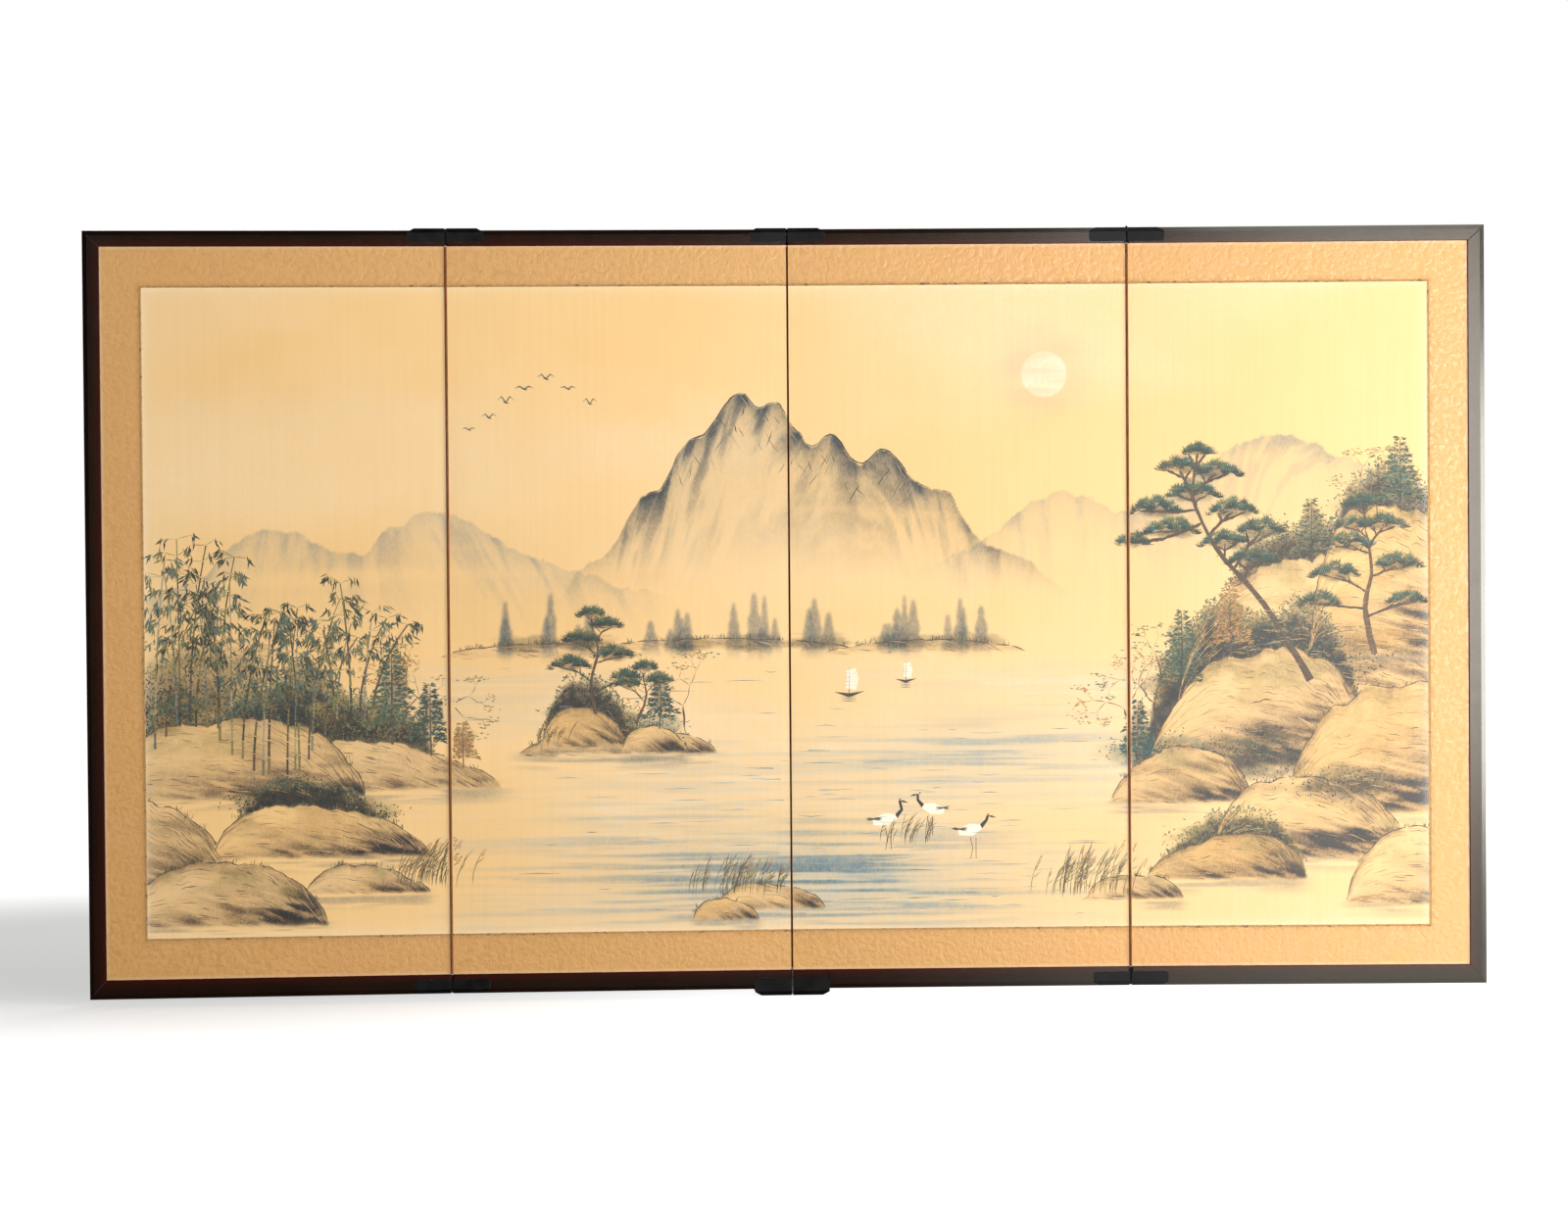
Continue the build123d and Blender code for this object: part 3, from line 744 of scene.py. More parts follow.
def pine_pad(brush, s, t, half, rng):
    """A pad of needles: overlapping tufts of fine strokes, dark below and lit above."""
    tufts = int(half * 1.1)
    for k in range(3 * tufts):
        row = k // tufts
        u = rng.uniform(-1, 1)
        lobe = abs(math.sin(u * 4.2 + half))
        root_s = s + u * half * (1 - 0.16 * row)
        root_t = t + half * (0.1 + 0.2 * lobe) * (1 - u * u) + row * half * 0.13 + rng.normal(0, 1.1)
        colour = mixed(rng, *PAD_COLOURS[row])
        for n in range(5):
            angle = math.pi * (0.02 + 0.96 * (n + rng.random()) / 5)
            brush.leaf(root_s, root_t, angle, rng.uniform(4, 8), rng.uniform(0.3, 0.6), colour)


def pine(brush, tree):
    """A leaning pine: trunk, boughs to each pad, and the pads."""
    half = tree.half
    rng = np.random.default_rng(tree.seed)
    points = np.array(tree.trunk, float)
    climb = np.linspace(0, 1, 16)
    knots = np.linspace(0, 1, len(points))
    trunk = np.stack([np.interp(climb, knots, points[:, k]) for k in (0, 1)], axis=1)
    for _ in range(5):
        trunk[1:-1] = (trunk[:-2] + 2 * trunk[1:-1] + trunk[2:]) / 4
    for share in (1.0, 0.62, 0.4):
        path = trunk + rng.normal(0, half * 0.1, trunk.shape) + rng.normal(0, half * 0.22 * (1 - share), 2)
        widths = half * share * (1 - 0.68 * climb) * rng.uniform(0.85, 1.15, len(climb))
        brush.line(path, widths, mixed(rng, UMBER, EARTH if share < 0.5 else WARM_INK))
    for at, top, reach in tree.pads:
        nearest = trunk[np.argmin(np.hypot(trunk[:, 0] - at, trunk[:, 1] - top + 12))]
        middle = (nearest[0] * 0.45 + at * 0.55, nearest[1] * 0.3 + top * 0.7)
        for twig in (-0.6, 0.0, 0.5):
            end = (at + twig * reach, top + reach * 0.12)
            brush.drawn([nearest, middle, end], half * 0.3, mixed(rng, UMBER, WARM_INK), rng, 0.4, 4)
        pine_pad(brush, at, top, reach, rng)


def bamboo(brush, s, foot, height, bend, half, seed, culm, leaf):
    """A bamboo stem in joints, with hanging sprays of leaves on its upper half."""
    rng = np.random.default_rng(seed)
    joints = int(height / 19)
    path = [(s + bend * (k / joints) ** 2, foot + height * (k / joints)) for k in range(joints + 1)]
    for k in range(joints):
        (s0, t0), (s1, t1) = path[k], path[k + 1]
        width = half * (1 - 0.55 * k / joints)
        stem = [(s0, t0 + 0.9), ((s0 + s1) / 2, (t0 + t1) / 2), (s1, t1 - 0.5)]
        brush.line(stem, [width, width * 0.82, width], mixed(rng, *culm))
        if k < joints * 0.35:
            continue
        for _ in range(rng.integers(2, 5)):
            side = rng.choice([-1, 1])
            out = rng.uniform(5, 20)
            end = (s1 + side * out, t1 + rng.uniform(-3, 9))
            brush.drawn([(s1, t1), end], 0.3, mixed(rng, *culm), rng, 0.1, 6)
            for _ in range(rng.integers(4, 8)):
                angle = -math.pi / 2 + side * rng.uniform(-0.25, 1.15)
                root = (end[0] + rng.normal(0, 2.5), end[1] + rng.normal(0, 2))
                brush.leaf(*root, angle, rng.uniform(7, 14), rng.uniform(0.75, 1.35), mixed(rng, *leaf))


def reeds(brush, s0, t0, spread, count, height, seed):
    """Reeds bending in the wind, some with a plume."""
    rng = np.random.default_rng(seed)
    for _ in range(count):
        s = s0 + rng.normal(0, spread)
        tall = height * rng.uniform(0.5, 1.1)
        bend = rng.uniform(0.1, 0.5) * tall
        t = t0 + rng.normal(0, 2)
        path = [(s + bend * (k / 5) ** 2, t + tall * (k / 5)) for k in range(6)]
        brush.drawn(path, 0.42, mixed(rng, UMBER, OLIVE, PINE_GREEN), rng, 0.15, 6)
        for k in (2, 3):
            angle = math.pi / 2 - rng.uniform(0.3, 1.1)
            brush.leaf(*path[k], angle, tall * 0.3, 0.5, mixed(rng, OLIVE, UMBER))
        if rng.random() < 0.3:
            tip_s, tip_t = path[5]
            for n in range(7):
                angle = rng.uniform(-0.4, 0.5)
                brush.leaf(tip_s - n * 0.6, tip_t - n * 1.4, angle, 3.4, 0.5, mixed(rng, RUST, OCHRE))


def flying_bird(brush, s, t, size, beat):
    """A small far bird: two bent wings, a body and a neck."""
    for side in (-1, 1):
        wing = [(s, t), (s + side * size * 0.5, t + size * beat), (s + side * size, t + size * beat * 0.35)]
        brush.line(wing, [size * 0.075, size * 0.085, 0.12], SLATE * 0.6)
    body = [(s - size * 0.34, t + size * 0.14), (s, t), (s + size * 0.34, t - size * 0.1)]
    brush.line(body, [0.15, size * 0.09, 0.3], INK)


def standing_crane(brush, s, t, size, facing, neck):
    """A wading crane: legs, body, tail plume, neck and bill."""
    rng = np.random.default_rng(int(s))
    for leg in (-0.06, 0.05):
        foot = (s + leg * size, t)
        knee = (s + (leg * 0.6 + 0.02) * size, t + size * 0.2)
        brush.line([foot, knee, (s + leg * size, t + size * 0.42)], [0.3, 0.38, 0.42], WARM_INK)
    ahead = facing * size
    back = t + size * 0.56
    body = [(s - ahead * 0.3, back - size * 0.03), (s - ahead * 0.05, back + size * 0.02),
            (s + ahead * 0.16, back + size * 0.08)]
    brush.line(body, [size * 0.06, size * 0.125, size * 0.05], SHELL_WHITE)
    for k in range(9):
        root = (s - ahead * 0.12, back + size * (0.07 - 0.012 * k))
        angle = math.pi * (facing > 0) - facing * (-0.25 + 0.075 * k)
        brush.leaf(*root, angle, size * rng.uniform(0.24, 0.34), size * 0.02, mixed(rng, INK, SLATE))
    root = np.array([s + ahead * 0.14, back + size * 0.07])
    bend = root + [ahead * 0.12, size * 0.14]
    head = root + [ahead * (0.06 + neck * 0.1), size * (0.34 - neck * 0.12)]
    brush.line([root, bend, head], [size * 0.045, size * 0.028, size * 0.026], INK)
    brush.leaf(*head, math.pi * (facing < 0) - facing * 0.25, size * 0.17, size * 0.022, WARM_INK)
    brush.leaf(head[0] - ahead * 0.02, head[1] + size * 0.02, 0.1, size * 0.05, size * 0.022, RUST)


def sail_boat(brush, s, t, size, facing):
    """A small far boat with one square sail and its reflection."""
    ahead = facing * size
    hull = [(s - size * 0.5, t + size * 0.1), (s, t - size * 0.02), (s + size * 0.52, t + size * 0.12)]
    brush.line(hull, [0.2, size * 0.075, 0.2], WARM_INK)
    brush.line([(s, t), (s + ahead * 0.02, t + size * 0.95)], [0.4, 0.25], UMBER)
    bulge = ((0.06, 0.2), (0.13, 0.55), (0.06, 0.9))
    sail = [(s + ahead * share, t + size * rise) for share, rise in bulge]
    brush.line(sail, [size * 0.19, size * 0.21, size * 0.17], SHELL_WHITE * 0.96)
    for k in range(1, 5):
        row = t + size * (0.2 + 0.14 * k)
        brush.line([(s - size * 0.12, row), (s + size * 0.12 + ahead * 0.12, row)], [0.22, 0.2], EARTH)
    for k in range(4):
        level = t - 2 - k * 1.8
        mirrored = [(s - size * 0.3, level), (s, level - 0.3), (s + size * 0.26, level)]
        brush.line(mirrored, [0.1, 0.45, 0.1], SLATE)


def ripples(brush):
    """Fine level lines on the water."""
    rng = np.random.default_rng(777)
    for _ in range(330):
        s = rng.uniform(330, 1190)
        t = rng.uniform(10, 318)
        if rng.random() > math.exp(-(((s - 800) / 300) ** 2)) * (1.1 - t / 420):
            continue
        reach = rng.uniform(10, 54)
        sway = rng.normal(0, 0.7)
        line = [(s, t), (s + reach * 0.5, t + sway), (s + reach, t)]
        brush.line(line, [0.08, rng.uniform(0.2, 0.5), 0.08], mixed(rng, SLATE, BLUE_GREY, LAKE_BLUE))


GROVE_STEMS = 26


def bamboo_grove(brush):
    """Bamboo on the near left bank, every third stem in the mist behind the others."""
    rng = np.random.default_rng(31)
    for k in range(GROVE_STEMS):
        s = 14 + k * 10.4 + rng.normal(0, 4)
        foot = 224 + 34 * math.sin(k * 0.35) + rng.normal(0, 5)
        culm = (PINE_GREEN, OLIVE, UMBER) if k % 3 else (SLATE, MIST_GREY, OLIVE)
        leaf = (PINE_GREEN, OLIVE, DEEP_TEAL, INK) if k % 3 else (SLATE, OLIVE, TEAL)
        tall = rng.uniform(150, 262) * (1 - 0.35 * k / GROVE_STEMS)
        bamboo(brush, s, foot, tall, rng.uniform(-14, 44), rng.uniform(1.1, 1.9), 600 + k, culm, leaf)


# Slender trees: (s, foot, height, seed, leaf colours, bark colours).
AIRY_TREES = (
    (330, 232, 120, 701, (OLIVE, OCHRE, TEAL), (UMBER, WARM_INK)),
    (300, 236, 92, 702, (RUST, OCHRE, EARTH), (UMBER, RUST)),
    (640, 240, 86, 703, (OLIVE, TEAL, OCHRE), (UMBER, WARM_INK)),
    (1170, 226, 104, 704, (RUST, EARTH, OCHRE), (UMBER, RUST)),
    (1206, 222, 132, 705, (OLIVE, TEAL, PINE_GREEN), (UMBER, WARM_INK)),
    (1472, 486, 96, 706, (OLIVE, OCHRE, TEAL), (UMBER, WARM_INK)),
)

# Reeds: (s, t, spread, number of stems, height, seed).
REEDS = (
    (700, 46, 30, 44, 46, 721),
    (330, 60, 22, 40, 54, 722),
    (1112, 40, 30, 46, 58, 723),
    (474, 226, 12, 16, 26, 724),
    (906, 104, 14, 20, 34, 725),
)

# The places of the far birds, from the first of the skein.
BIRDS = ((452, 650), (478, 662), (430, 634), (504, 650), (410, 616), (530, 632), (386, 602))

# Cranes: (s, t, size, the side it faces, how far the neck is let down).
CRANES = ((884, 96, 62, 1, 0.2), (934, 112, 56, -1, 0.6), (986, 84, 60, 1, 0.9))

# Boats: (s, t, size, the side the wind blows to).
BOATS = ((838, 282, 34, 1), (906, 298, 24, 1), (766, 300, 18, -1))


def draw_picture():
    """Every brush stroke of the picture."""
    brush = Brush()
    outline_ranges(brush)
    for shore in FAR_SHORE:
        outline_rock(brush, shore)
    ripples(brush)
    draw_rocks(brush)
    bamboo_grove(brush)
    for place, number, tall, wide, colours, seed in LAYERED_TREES:
        foot = ground_at(place, number) - 3
        layered_tree(brush, place, foot, tall, wide, seed, colours, (UMBER, WARM_INK))
    for tree in AIRY_TREES:
        airy_tree(brush, *tree)
    for tree in PINES:
        pine(brush, tree)
    for clump in REEDS:
        reeds(brush, *clump)
    for k, (s, t) in enumerate(BIRDS):
        flying_bird(brush, s, t, 11 - 0.5 * k, 0.3 + 0.22 * (k % 3))
    for crane in CRANES:
        standing_crane(brush, *crane)
    for boat in BOATS:
        sail_boat(brush, *boat)
    return brush.strokes


# ---------------------------------------------------------------- the silk and the strokes on it

SILK_GRID = 1.85
SILK_THICKNESS = 0.5
# The depth of the silk's ripple, and how far inside the edge it reaches its full depth.
RIPPLE = 0.09
FLAT_RIM = 14
# How far a stroke's edges and its crown stand off the silk.
STROKE_BASE = 0.02
STROKE_HEIGHT = 0.07
# How far the strokes end inside the silk's edge.
EDGE_MARGIN = 0.6
STATIONS_IN_A_PIECE = 24000

# The middle panels' width from fold to fold.
FOLD_PITCH = 407
# The hinges' depth in the panels, and the height of the panels' own zero over the floor.
HINGE_Y = -0.3
STANDING = 8.0

# A panel turns by turn degrees about its hinge, which is at hinge_x in the panel. The picture's s is
# offset at the panel's x = 0.
Panel = namedtuple("Panel", "name hinge turn hinge_x offset")

PANELS = (
    Panel("panel_1", "fold_1", 3, 427, -67),
    Panel("panel_2", "fold_1", 1, 0, 360),
    Panel("panel_3", "fold_3", -1, FOLD_PITCH, 767),
    Panel("panel_4", "fold_3", -3, 0, 1174),
)


def joint_place(name):
    return next(Vector(joint["pos_m"]) for joint in frame["joints"] if joint["name"] == name)


def panel_matrix(panel):
    """From a panel's own millimetres to the frame's metres."""
    place = joint_place(panel.hinge)
    corner = Vector((place.x, place.y, STANDING * MM))
    turned = Matrix.Rotation(math.radians(panel.turn), 4, "Z")
    own = Matrix.Translation((-panel.hinge_x * MM, -HINGE_Y * MM, 0))
    return Matrix.Translation(corner) @ turned @ own @ Matrix.Scale(MM, 4)


def flat_extent(node, matrix):
    """The node's lowest and highest corners in its panel's own millimetres."""
    inverse = matrix.inverted()
    points = np.array([inverse @ v.co for v in frame["nodes"][node].data.vertices])
    return points.min(axis=0), points.max(axis=0)


def ripple(s, t):
    """How far the stretched silk stands off its ground: long faint waves."""
    return RIPPLE * (np.sin(s / 47 + t / 160) * np.cos(t / 71 - s / 230) - 1)


def new_mesh(name, vertices, faces, matrix, material, tints=None):
    """A piece of these vertices and faces, with a tint for each vertex if it is painted."""
    mesh = bpy.data.meshes.new(name)
    mesh.from_pydata(vertices, [], faces)
    mesh.transform(matrix)
    if tints is not None:
        attribute = mesh.attributes.new("paint", "FLOAT_COLOR", "POINT")
        values = np.column_stack([tints, np.ones(len(tints))])
        attribute.data.foreach_set("color", values.astype(np.float32).ravel())
    mesh.materials.append(material)
    piece = bpy.data.objects.new(name, mesh)
    bpy.context.collection.objects.link(piece)
    return piece


def sheet_faces(rows, columns):
    """The faces of a closed sheet, and the numbers of its grid's points round the edge.

    Its points are the grid's, then one behind each point of the edge, then the middle of the back.
    """
    number = np.arange(rows * columns).reshape(rows, columns)
    quads = np.stack([number[:-1, :-1], number[:-1, 1:], number[1:, 1:], number[1:, :-1]], axis=-1)
    border = np.concatenate([number[0, :-1], number[:-1, -1], number[-1, :0:-1], number[:0:-1, 0]])
    behind = np.arange(len(border)) + rows * columns
    following = np.roll(behind, -1)
    middle = rows * columns + len(border)
    faces = quads.reshape(-1, 4).tolist()
    faces += np.stack([np.roll(border, -1), border, behind, following], axis=-1).tolist()
    faces += [[int(b), middle, int(a)] for a, b in zip(following, behind)]
    return faces, border


def silk_sheet(panel, low, high, matrix, material):
    """A panel's silk: a fine grid in front that carries the paint, closed round its edge and behind."""
    columns = int((high[0] - low[0]) / SILK_GRID) + 1
    rows = int((high[2] - low[2]) / SILK_GRID) + 1
    x, z = np.meshgrid(np.linspace(low[0], high[0], columns), np.linspace(low[2], high[2], rows))
    x = x.ravel()
    z = z.ravel()
    s = x + panel.offset
    t = z - low[2]
    rim = np.minimum(np.minimum(x - low[0], high[0] - x), np.minimum(z - low[2], high[2] - z))
    front = low[1] + ripple(s, t) * between(0, FLAT_RIM, rim)
    faces, border = sheet_faces(rows, columns)
    depth = low[1] + SILK_THICKNESS
    back_ring = np.column_stack([x[border], np.full(len(border), depth), z[border]])
    centre = np.array([[(low[0] + high[0]) / 2, depth, (low[2] + high[2]) / 2]])
    vertices = np.concatenate([np.column_stack([x, front, z]), back_ring, centre])
    tints = np.concatenate([paint_picture(s, t), np.ones((len(border) + 1, 3))])
    piece = new_mesh(f"{panel.name}_painted_silk", vertices.tolist(), faces, matrix, material, tints)
    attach(piece, panel.name)
    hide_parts(f"{panel.name}_picture_silk")
    return piece


def clipped(points, half_widths, low_s, high_s):
    """The runs of a stroke's stations that lie on the panel."""
    room = half_widths + EDGE_MARGIN
    inside = (points[:, 0] > low_s + room) & (points[:, 0] < high_s - room)
    inside &= (points[:, 1] > room) & (points[:, 1] < PICTURE_HEIGHT - room)
    if inside.all():
        return [slice(0, len(points))]
    if not inside.any():
        return []
    edges = np.flatnonzero(np.diff(np.concatenate([[0], inside.astype(int), [0]])))
    runs = [slice(a, b) for a, b in zip(edges[::2], edges[1::2])]
    return [run for run in runs if run.stop - run.start > 1]


def lengths_on(strokes, low_s, high_s):
    """The lengths of stroke that lie on a panel."""
    for points, half_widths, colour in strokes:
        for run in clipped(points, half_widths, low_s, high_s):
            yield points[run], half_widths[run], colour


def in_batches(lengths):
    """The lengths of stroke, in batches small enough for one mesh each."""
    batch = []
    stations = 0
    for length in lengths:
        batch.append(length)
        stations += len(length[0])
        if stations > STATIONS_IN_A_PIECE:
            yield batch
            batch = []
            stations = 0
    if batch:
        yield batch


def outline_of(line, half_widths):
    """A stroke's left edge, right edge and middle at each of its stations, one after the other."""
    along = np.gradient(line, axis=0)
    along = along / np.maximum(np.hypot(along[:, 0], along[:, 1]), 1e-6)[:, None]
    across = np.column_stack([-along[:, 1], along[:, 0]]) * half_widths[:, None]
    return np.stack([line + across, line - across, line], axis=1).reshape(-1, 2)


def strip_faces(first, stations):
    """The faces of a closed strip with three points at each station."""
    start = first + 3 * np.arange(stations - 1)
    left, right, crown = start, start + 1, start + 2
    faces = np.stack([left, crown, crown + 3, left + 3], axis=-1).tolist()
    faces += np.stack([crown, right, right + 3, crown + 3], axis=-1).tolist()
    faces += np.stack([right, left, left + 3, right + 3], axis=-1).tolist()
    last = first + 3 * (stations - 1)
    return faces + [[first, first + 1, first + 2], [last + 1, last, last + 2]]


def stroke_piece(name, panel, lengths, low, matrix, material):
    """Brush strokes on a panel, each a thin closed strip with a low crown."""
    vertices = []
    tints = []
    faces = []
    count = 0
    for line, half_widths, colour in lengths:
        flat = outline_of(line, half_widths)
        lift = np.tile([STROKE_BASE, STROKE_BASE, STROKE_HEIGHT], len(line))
        y = low[1] + ripple(flat[:, 0], flat[:, 1]) - lift
        vertices.append(np.column_stack([flat[:, 0] - panel.offset, y, flat[:, 1] + low[2]]))
        tints.append(np.tile(colour / SILK, (len(flat), 1)))
        faces += strip_faces(count, len(line))
        count += len(flat)
    points = np.concatenate(vertices)
    piece = new_mesh(name, points.tolist(), faces, matrix, material, np.concatenate(tints))
    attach(piece, panel.name)
    return piece


def dress_panel(panel, strokes, silk, ink):
    """A panel's silk, and the lengths of brush stroke that lie on it."""
    matrix = panel_matrix(panel)
    low, high = flat_extent(f"{panel.name}_picture_silk", matrix)
    sheet = silk_sheet(panel, low, high, matrix, silk)
    lengths = lengths_on(strokes, low[0] + panel.offset, high[0] + panel.offset)
    marks = [
        stroke_piece(f"{panel.name}_brush_strokes_{number}", panel, batch, low, matrix, ink)
        for number, batch in enumerate(in_batches(lengths), 1)
    ]


# ---------------------------------------------------------------- the folds

STRIP_THICKNESS = 0.25
STRIP_COLUMNS = 8
STRIP_REACH = 1.3
# A strip's half width, its distance from the fold's axis, and its lowest and highest points.
FOOT_STRIP = (STRIP_REACH, 2.0, 9.0, 30.5)
LONG_STRIP = (0.6, 1.1, 31.5, 897.5)
HEAD_STRIP = (STRIP_REACH, 2.0, 898.5, 918.8)

# Below, a section is a row of (y, z) points in the panel's millimetres. A reach is where a piece starts
# and ends beside the middle fold: less than 0 is on its own panel, and more than 0 is past the fold.

# The filler that stands in for the middle fold's foot strip, where the loose shoes slide.
FILLER_SECTION = ((17.0, 1.5), (17.0, 22.9), (17.3, 22.9), (17.3, 1.5))
FILLER_REACH = (-STRIP_REACH, 0.9)


def fold_strip(fold, behind, strips, material):
    """The paper that bridges a fold inside the hinge papers and between the rails' ends."""
    axis = joint_place(fold) / MM
    vertices = []
    faces = []
    for half, depth, bottom, top in strips:
        first = len(vertices)
        near = axis.y + behind * depth
        for k in range(STRIP_COLUMNS + 1):
            x = axis.x + half * (2 * k / STRIP_COLUMNS - 1)
            far = near + behind * STRIP_THICKNESS
            vertices += [(x, near, bottom), (x, far, bottom), (x, far, top), (x, near, top)]
        for k in range(STRIP_COLUMNS):
            a = first + 4 * k
            faces += [(a + n, a + (n + 1) % 4, a + 4 + (n + 1) % 4, a + 4 + n) for n in range(4)]
        last = first + 4 * STRIP_COLUMNS
        faces += [(first + 3, first + 2, first + 1, first), (last, last + 1, last + 2, last + 3)]
    piece = new_mesh(f"{fold}_strip", vertices, faces, Matrix.Scale(MM, 4), material)
    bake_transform(piece)


# The loose shoe's front in section.
SHOE_FRONT = ((3.1, -7.9), (0.1, -2.5), (0.1, 13.9), (1.1, 13.9), (1.1, -2.5), (4.1, -7.9))
EDGE_REACH = (-1.25, -0.72)
# The tongue that stands on the left shoe's foot inside, and darkens the gap between the two shoes.
TONGUE_FOOT = ((17.5, -7.9), (17.5, -6.9), (18.1, -6.9), (18.1, -7.9))
TONGUE_FOOT_REACH = (-1.25, 0.85)
TONGUE = ((17.5, -6.9), (17.5, 1.4), (18.1, 1.4), (18.1, -6.9))
TONGUE_REACH = (-1.15, 0.85)


def prism(section, reach, side, first=0):
    """The closed solid of a (y, z) section drawn out along x from a middle panel's edge at the middle fold.

    Side is -1 on panel_2 and 1 on panel_3. The vertices are numbered from first.
    """
    fold_x = FOLD_PITCH if side < 0 else 0
    vertices = [(fold_x - side * x, y, z) for x in reach for y, z in section]
    count = len(section)
    faces = [(n, (n + 1) % count, count + (n + 1) % count, count + n) for n in range(count)]
    faces += [tuple(range(count))[::-1], tuple(range(count, 2 * count))]
    if side > 0:
        faces = [face[::-1] for face in faces]
    return vertices, [tuple(first + n for n in face) for face in faces]


def shoe_edge(name, body, panel, side, material):
    """The turned edge of a loose shoe, which nearly meets its neighbour's, and the left shoe's tongue."""
    vertices, faces = prism(SHOE_FRONT, EDGE_REACH, side)
    if side < 0:
        for section, reach in ((TONGUE_FOOT, TONGUE_FOOT_REACH), (TONGUE, TONGUE_REACH)):
            more_vertices, more_faces = prism(section, reach, side, len(vertices))
            vertices += more_vertices
            faces += more_faces
    piece = new_mesh(name, vertices, faces, panel_matrix(panel), material)
    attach(piece, body)


def edge_shoes(material):
    shoe_edge("loose_shoe_left_edge", "shoe_left", PANELS[1], -1, material)
    shoe_edge("loose_shoe_right_edge", "shoe_right", PANELS[2], 1, material)


def rail_filler(material):
    """A rigid piece of hinge paper at the foot of the middle fold."""
    vertices, faces = prism(FILLER_SECTION, FILLER_REACH, -1)
    piece = new_mesh("panel_2_rail_filler", vertices, faces, panel_matrix(PANELS[1]), material)
    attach(piece, "panel_2")


def bridge_folds(material):
    outer = (FOOT_STRIP, LONG_STRIP, HEAD_STRIP)
    fold_strip("fold_1", 1, outer, material)
    fold_strip("fold_2", -1, (LONG_STRIP, HEAD_STRIP), material)
    fold_strip("fold_3", 1, outer, material)
    rail_filler(material)


# ---------------------------------------------------------------- materials

# The paper field inside the moulding: the height of its middle, half its height and half its width.
FIELD_MIDDLE = 0.4645
FIELD_HALF = 0.4335
FIELD_REACH = 0.8135
# How far inside the field's edge the middle of the trim lies.
TRIM_LINE = 0.047
# How far the corner's mitre climbs for each metre across, at the top and the bottom.
TOP_MITRE = 0.95
BOTTOM_MITRE = 1.15
# The width and height of a lozenge printed on the back.
LOZENGE = (0.03, 0.018)


class Nodes:
    """A node tree, with a short method for each kind of node that it needs."""

    def __init__(self, tree):
        self.tree = tree

    def node(self, kind, **settings):
        made = self.tree.nodes.new(kind)
        for name, value in settings.items():
            setattr(made, name, value)
        return made

    def feed(self, socket, value):
        if isinstance(value, bpy.types.NodeSocket):
            self.tree.links.new(value, socket)
        elif hasattr(value, "__len__") and socket.type == "RGBA":
            socket.default_value = (*value[:3], 1)
        else:
            socket.default_value = value

    def axis(self, vector, name):
        made = self.node("ShaderNodeSeparateXYZ")
        self.feed(made.inputs[0], vector)
        return made.outputs[name]

    def span(self, value, low, high, out_low=0, out_high=1):
        """The value, eased from out_low at low to out_high at high."""
        made = self.node("ShaderNodeMapRange", interpolation_type="SMOOTHSTEP")
        names = ("Value", "From Min", "From Max", "To Min", "To Max")
        for name, number in zip(names, (value, low, high, out_low, out_high)):
            self.feed(made.inputs[name], number)
        return made.outputs["Result"]

    def maths(self, operation, a, b=0.0):
        made = self.node("ShaderNodeMath", operation=operation)
        self.feed(made.inputs[0], a)
        self.feed(made.inputs[1], b)
        return made.outputs[0]

    def add(self, a, b):
        return self.maths("ADD", a, b)

    def times(self, a, b):
        return self.maths("MULTIPLY", a, b)

    def larger(self, a, b):
        return self.maths("MAXIMUM", a, b)

    def apart(self, a, b):
        """How far a and b are from each other."""
        return self.maths("ABSOLUTE", self.maths("SUBTRACT", a, b))


